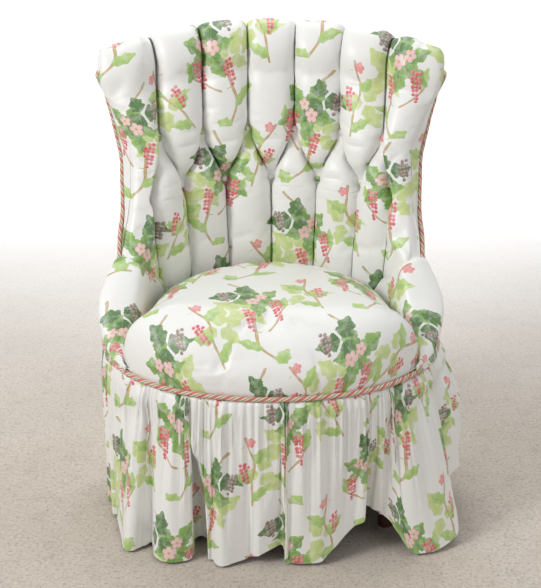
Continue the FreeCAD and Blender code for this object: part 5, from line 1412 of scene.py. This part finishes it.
def cord_cloth():
    """Plied yarn: the colour goes by the ply, with the yarn's own fine twist on it."""
    material, tree, shader = new_material("twisted_cord", 0.62, Sheen_Weight=0.25, Sheen_Roughness=0.4)
    place = add_node(tree, "ShaderNodeUVMap", uv_map=CLOTH_MAP).outputs["UV"]
    around, along = split(tree, place)
    ramp = add_node(tree, "ShaderNodeValToRGB")
    ramp.color_ramp.interpolation = "CONSTANT"
    while len(ramp.color_ramp.elements) < len(CORD_BANDS):
        ramp.color_ramp.elements.new(0.5)
    for number, colour in enumerate(CORD_BANDS):
        ramp.color_ramp.elements[number].position = number / len(CORD_BANDS)
        ramp.color_ramp.elements[number].color = colour
    plug(tree, ramp.inputs["Fac"], (around * 2 + 8).math("FRACT"))
    yarn = (around * (4 * math.pi * CORD_PLIES) + along * YARN_TWIST).sine()
    fuzz = noise(tree, place, 900.0, 2.0)
    shade = (yarn * 0.16 + fuzz * 0.3).clamped()
    tree.links.new(over(tree, ramp.outputs["Color"], paint(128, 84, 68), shade * 0.5),
                   shader.inputs["Base Color"])
    bump(tree, shader, yarn * 0.5 + fuzz * 0.5, 0.0003, 0.6)
    return material


CORD_CLOTH = cord_cloth()


def along_route(points, step):
    """Points at even steps along a smooth curve through a route's points."""
    dense = smooth_between(points, 24)
    lengths = np.concatenate([[0], np.cumsum(np.linalg.norm(np.diff(dense, axis=0), axis=1))])
    stops = np.linspace(0, lengths[-1], int(lengths[-1] / step) + 1)
    return np.stack([np.interp(stops, lengths, dense[:, axis]) for axis in range(3)], axis=1), stops


def twisted_cord(name, route, turned_in):
    """A rope of plies along a route; where it is turned in, its ends narrow and are tucked away."""
    centres, stops = along_route(route, CORD_STEP)
    runs = np.gradient(centres, axis=0)
    runs /= np.linalg.norm(runs, axis=1)[:, None]
    side = np.cross(runs[0], (0, 0, 1.0))
    points, places = [], []
    sides = CORD_PLIES * 3
    for centre, run, stop in zip(centres, runs, stops):
        side = side - run * side.dot(run)
        side /= np.linalg.norm(side)
        other = np.cross(run, side)
        to_end = min(stop, stops[-1] - stop) / (0.6 * CORD_WIDTH)
        taper = math.sqrt(1 - (1 - min(1, to_end)) ** 2) * 0.96 + 0.04 if turned_in else 1
        for step in range(sides):
            share = step / sides
            swell = 0.90 + 0.10 * abs(math.sin(math.pi * CORD_PLIES * share))
            turn = 2 * math.pi * (share - stop / CORD_LAY)
            reach = CORD_WIDTH / 2 * swell * taper
            points.append(centre + reach * (math.cos(turn) * side + math.sin(turn) * other))
            places.append((share, stop))
    faces = grid_faces(len(centres), sides, closed=True)
    faces.append(list(range(sides - 1, -1, -1)))
    faces.append([(len(centres) - 1) * sides + step for step in range(sides)])
    cord = mesh_piece(name, points, faces, CORD_CLOTH)
    add_cloth_map(cord, places)
    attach(cord, "root")
    return cord


CORD_LIFT = CORD_WIDTH / 2 + CLOTH
CORD_TUCK = 0.008
# Degrees from the border to the point of the outside cover that the cord is turned by.
CORD_SIDE = 3
# The stations of the inside back whose ends the cord goes through.
CORD_ROWS = [4, 5] + list(range(7, 16, 2)) + [16, 17, 18, 20, 22, 24]


def lifted(seams):
    """Centres of a cord over a seam: away from both covers, and tucked round the outside one."""
    points = []
    for k, (seam, inside, outside) in enumerate(seams):
        run = seams[min(len(seams) - 1, k + 1)][0] - seams[max(0, k - 1)][0]
        run = run / np.linalg.norm(run)
        away = np.zeros(3)
        for cover in (inside, outside):
            way = cover - seam
            way = way - run * way.dot(run)
            way /= np.linalg.norm(way)
            away -= way
        points.append(seam + away / np.linalg.norm(away) * CORD_LIFT + way * CORD_TUCK)
    return points


def beside_border(height):
    """A point of the outside cover a little in from the border."""
    angle = read_table(BORDER, height)[0] - CORD_SIDE
    return tub_point(angle, skin_reach(angle, height), height)


def arm_seams():
    """Seam, inside and outside points up the arm."""
    heights = [BORDER[1][0]]
    for low, high in zip(BORDER[1:8], BORDER[2:8]):
        heights += [(low[0] + high[0]) / 2, high[0]]
    seams = []
    for height in heights:
        angle = read_table(BORDER, height)[0]
        inside = arm_row(angle, *read_table(ARM_TABLE, angle))[1]
        seams.append((border_point(height), inside, beside_border(height)))
    return seams


def wing_seams():
    """Up the edge of the wing and round the corner of the crest."""
    seams = []
    for k in CORD_ROWS:
        seam = back_rows[k][-1]
        if k < len(STATIONS):
            outside = beside_border(seam[2])
        else:
            outside = outside_corner_row(k - len(STATIONS))[-5] - (0, 0, CORD_WIDTH)
        seams.append((seam, back_rows[k][-2], outside))
    return seams


def crest_cord_points(runs=17):
    """Centres of the cord along the seam behind the crest."""
    points = []
    for k in range(1, runs):
        along = CREST_END * (1 - 2 * k / runs)
        seam = on_seam_plane(bed_point(along, SEAM_OUTSET, CREST_ROLL))
        point = bed_point(along, SEAM_OUTSET + CORD_LIFT + CLOTH, CREST_ROLL)
        points.append(np.array((point[0], point[1], seam[2])))
    return points


right_route = lifted(arm_seams() + wing_seams())
border_route = right_route + crest_cord_points() + [point * (-1, 1, 1) for point in right_route[::-1]]
border_cord = twisted_cord("border_cord", border_route, True)
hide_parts("back_edge_cord")


def plan_oval(degrees, outset):
    """A point of the oval by its angle from the front about the middle of the seat."""
    turn = math.radians(degrees)
    reach = oval_reach(math.sin(turn), -math.cos(turn), WIDEST_LINE, outset)
    return np.array((reach * math.sin(turn), WIDEST_LINE - reach * math.cos(turn)))


CORD_LEVEL = RAIL_TOP + 0.3 * CORD_WIDTH
CORD_OUTSET = -COVER_INSET + CORD_WIDTH / 2 + 0.0006
seat_route = [(*plan_oval(degrees, CORD_OUTSET), CORD_LEVEL)
              for degrees in np.linspace(180, 540, 73)]
seat_cord = twisted_cord("seat_cord", np.array(seat_route), False)
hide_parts("skirt_cord")

# The skirt: one long strip of the print with a plain lining, gathered on its tape under the cord and
# hanging in deep uneven folds. The hem goes round through the points below: across, towards the rear,
# and height. The front ones are the folds of the photograph, with one hem lifted beside the right leg.
SKIRT_TOP = CORD_LEVEL - CORD_WIDTH / 2 - 0.0003
HEM_GAP = 0.006
SKIRT_DROP = SKIRT_TOP - HEM_GAP
SKIRT_THICK = 0.0016
LEAST_HEIGHT = 0.004
FRONT_HEM = [
    (-0.300, -0.105, 0.010), (-0.284, -0.185, 0.006), (-0.276, -0.220, 0.006), (-0.262, -0.229, 0.006),
    (-0.238, -0.215, 0.008), (-0.226, -0.205, 0.009), (-0.222, -0.222, 0.008), (-0.216, -0.250, 0.007),
    (-0.200, -0.266, 0.006), (-0.178, -0.270, 0.006), (-0.156, -0.259, 0.007), (-0.145, -0.238, 0.009),
    (-0.141, -0.200, 0.014), (-0.126, -0.182, 0.018), (-0.110, -0.196, 0.014), (-0.108, -0.240, 0.009),
    (-0.102, -0.272, 0.006), (-0.086, -0.283, 0.006), (-0.060, -0.272, 0.010), (-0.033, -0.259, 0.018),
    (0.002, -0.247, 0.032), (0.020, -0.240, 0.036), (0.026, -0.252, 0.026), (0.030, -0.268, 0.010),
    (0.044, -0.276, 0.008), (0.088, -0.275, 0.009), (0.104, -0.268, 0.020), (0.150, -0.243, 0.064),
    (0.163, -0.234, 0.074), (0.164, -0.216, 0.084), (0.152, -0.198, 0.088), (0.160, -0.190, 0.088),
    (0.190, -0.205, 0.082), (0.216, -0.214, 0.068), (0.236, -0.226, 0.042), (0.262, -0.240, 0.010),
    (0.286, -0.238, 0.007), (0.312, -0.228, 0.008), (0.342, -0.206, 0.018), (0.354, -0.186, 0.028),
    (0.350, -0.134, 0.060), (0.332, -0.112, 0.082), (0.346, -0.098, 0.092), (0.366, -0.070, 0.096),
    (0.368, -0.036, 0.080), (0.362, 0.010, 0.040), (0.340, 0.030, 0.018),
]
# The folds of the sides and the rear: angle from the front, how far out of the oval, height over the gap.
REAR_FOLDS = [
    (97, 0.022, 0.008), (106, 0.034, 0.0), (114, 0.004, 0.008), (125, 0.034, 0.0), (136, 0.0, 0.008),
    (147, 0.036, 0.0), (158, 0.004, 0.008), (169, 0.030, 0.0), (180, 0.0, 0.008), (191, 0.034, 0.0),
    (202, 0.0, 0.008), (213, 0.036, 0.0), (224, 0.004, 0.008), (235, 0.032, 0.0), (246, 0.0, 0.008),
    (257, 0.018, 0.0), (267, -0.012, 0.008), (276, 0.004, 0.0), (284, -0.014, 0.006),
]
GATHER_PITCH = 0.019
GATHER_DEPTH = 0.0095
TUCK_DEPTH = 0.0105
TAPE_OUTSET = 0.0036 - COVER_INSET
RAIL_EASE = 0.05
SKIRT_COLUMNS = 1200
SKIRT_ROWS = 44
SKIRT_REACH = 0.371
RAIL_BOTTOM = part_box("seat_rail_front")[0].z


def evenly_round(points, count):
    """Points at even steps round a smooth closed curve, with the length of the curve."""
    points = np.asarray(points, float)
    dense = smooth_between(np.concatenate([points[-2:], points, points[:3]]), 16)
    dense = dense[32:32 + 16 * len(points) + 1]
    lengths = np.concatenate([[0], np.cumsum(np.linalg.norm(np.diff(dense, axis=0), axis=1))])
    stops = np.linspace(0, lengths[-1], count, endpoint=False)
    return np.stack([np.interp(stops, lengths, dense[:, axis]) for axis in range(3)], axis=1), lengths[-1]


def softened(values, reach):
    """Values round a ring, averaged with their neighbours."""
    reach = int(reach)
    weights = np.hanning(2 * reach + 1)
    ringed = np.concatenate([values[-reach:], values, values[:reach]])
    return np.convolve(ringed, weights / weights.sum(), mode="valid")


rear_hem = [(*plan_oval(degrees, stand), HEM_GAP + lift) for degrees, stand, lift in REAR_FOLDS]
hem, hem_length = evenly_round(FRONT_HEM + rear_hem, SKIRT_COLUMNS)
per_metre = SKIRT_COLUMNS / hem_length
hem_angles = np.unwrap(np.arctan2(hem[:, 0], WIDEST_LINE - hem[:, 1]))
steady = np.linspace(0, 2 * math.pi, SKIRT_COLUMNS, endpoint=False)
top_angles = steady + softened(hem_angles - steady, 0.06 * per_metre)
strip = np.arange(SKIRT_COLUMNS) / per_metre
gather_count = round(hem_length / GATHER_PITCH)
uneven = 0.9 * np.sin(steady * 17 + 1) + 0.6 * np.sin(steady * 29)
gathers = np.abs(np.sin((steady * gather_count + uneven) / 2)) ** 0.7
gathers *= 0.8 + 0.35 * np.sin(steady * 37 + 2)
tucks = np.abs(np.sin((steady * round(gather_count / 2.5) + 1.6 * np.sin(steady * 11)) / 2)) ** 0.8
side_puff = 0.032 * np.exp(-((np.degrees(top_angles) - 93) / 13) ** 2)
base = np.stack([softened(hem[:, axis], 0.13 * per_metre) for axis in range(2)], axis=1)


def skirt_ring(share):
    """One row of the skirt, from the hem at 0 to the tape at 1."""
    flare, depth = 1 - share, (1 - share) ** 0.5
    fine = GATHER_DEPTH * share ** 2.1 * (1 - 0.5 * share ** 8)
    broad = TUCK_DEPTH * math.sin(math.pi * min(1, share ** 1.2)) ** 0.9 * share ** 0.5
    row = []
    for k in range(SKIRT_COLUMNS):
        top = plan_oval(math.degrees(top_angles[k]), TAPE_OUTSET)
        x, y = blend(top, base[k], flare) + (hem[k, :2] - base[k]) * depth
        height = blend(hem[k, 2], SKIRT_TOP, share)
        stand = fine * gathers[k] + broad * tucks[k] + side_puff[k] * math.sin(math.pi * share)
        reach = math.hypot(x, y - WIDEST_LINE)
        away = (x / reach, (y - WIDEST_LINE) / reach)
        near_rail = within_one((height - RAIL_BOTTOM + RAIL_EASE) / RAIL_EASE)
        if near_rail > 0:
            rail = oval_reach(*away, WIDEST_LINE, TAPE_OUTSET) + fine * gathers[k] + broad * tucks[k]
            stand += max(0, rail - reach - stand) * near_rail * near_rail * (3 - 2 * near_rail)
        row.append((min(x + away[0] * stand, SKIRT_REACH), y + away[1] * stand, height))
    return row


row_shares = np.linspace(0, 1, SKIRT_ROWS)
skirt_grid = np.array([skirt_ring(share) for share in row_shares])
held = np.zeros((SKIRT_ROWS, SKIRT_COLUMNS))
held[-4:] = 1
faces = grid_faces(SKIRT_ROWS, SKIRT_COLUMNS, closed=True)
skirt_grid = settled(skirt_grid.reshape(-1, 3), faces, held.ravel(), cap=0.009, pressure=0.0, gravity=1.0,
                     slack=0.012, frames=12).reshape(skirt_grid.shape)
skirt_grid[:, :, 2] = np.maximum(skirt_grid[:, :, 2], LEAST_HEIGHT)
lining_grid = skirt_grid - sheet_normals(skirt_grid, closed=True) * SKIRT_THICK
places = np.stack([np.tile(strip, (SKIRT_ROWS, 1)),
                   np.tile(row_shares[:, None] * SKIRT_DROP, (1, SKIRT_COLUMNS))], axis=2)
total = SKIRT_ROWS * SKIRT_COLUMNS
high = total - SKIRT_COLUMNS
outer_faces = len(faces)
faces += grid_faces(SKIRT_ROWS, SKIRT_COLUMNS, total, closed=True, flipped=True)
for column in range(SKIRT_COLUMNS):
    following = (column + 1) % SKIRT_COLUMNS
    faces.append((column, total + column, total + following, following))
    faces.append((high + column, high + following, total + high + following, total + high + column))
skirt = mesh_piece("gathered_skirt", np.concatenate([skirt_grid.reshape(-1, 3), lining_grid.reshape(-1, 3)]),
                   faces, CHINTZ)
skirt.data.materials.append(LINING)
lined = np.arange(len(faces)) >= outer_faces
skirt.data.polygons.foreach_set("material_index", lined.astype(np.int32))
add_cloth_map(skirt, np.concatenate([places.reshape(-1, 2)] * 2))
edge_ends = np.zeros(2 * len(skirt.data.edges), int)
skirt.data.edges.foreach_get("vertices", edge_ends)
on_hem = (edge_ends % total < SKIRT_COLUMNS).reshape(-1, 2).all(axis=1)
skirt.data.edges.foreach_set("use_edge_sharp", on_hem)
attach(skirt, "root")
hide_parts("skirt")
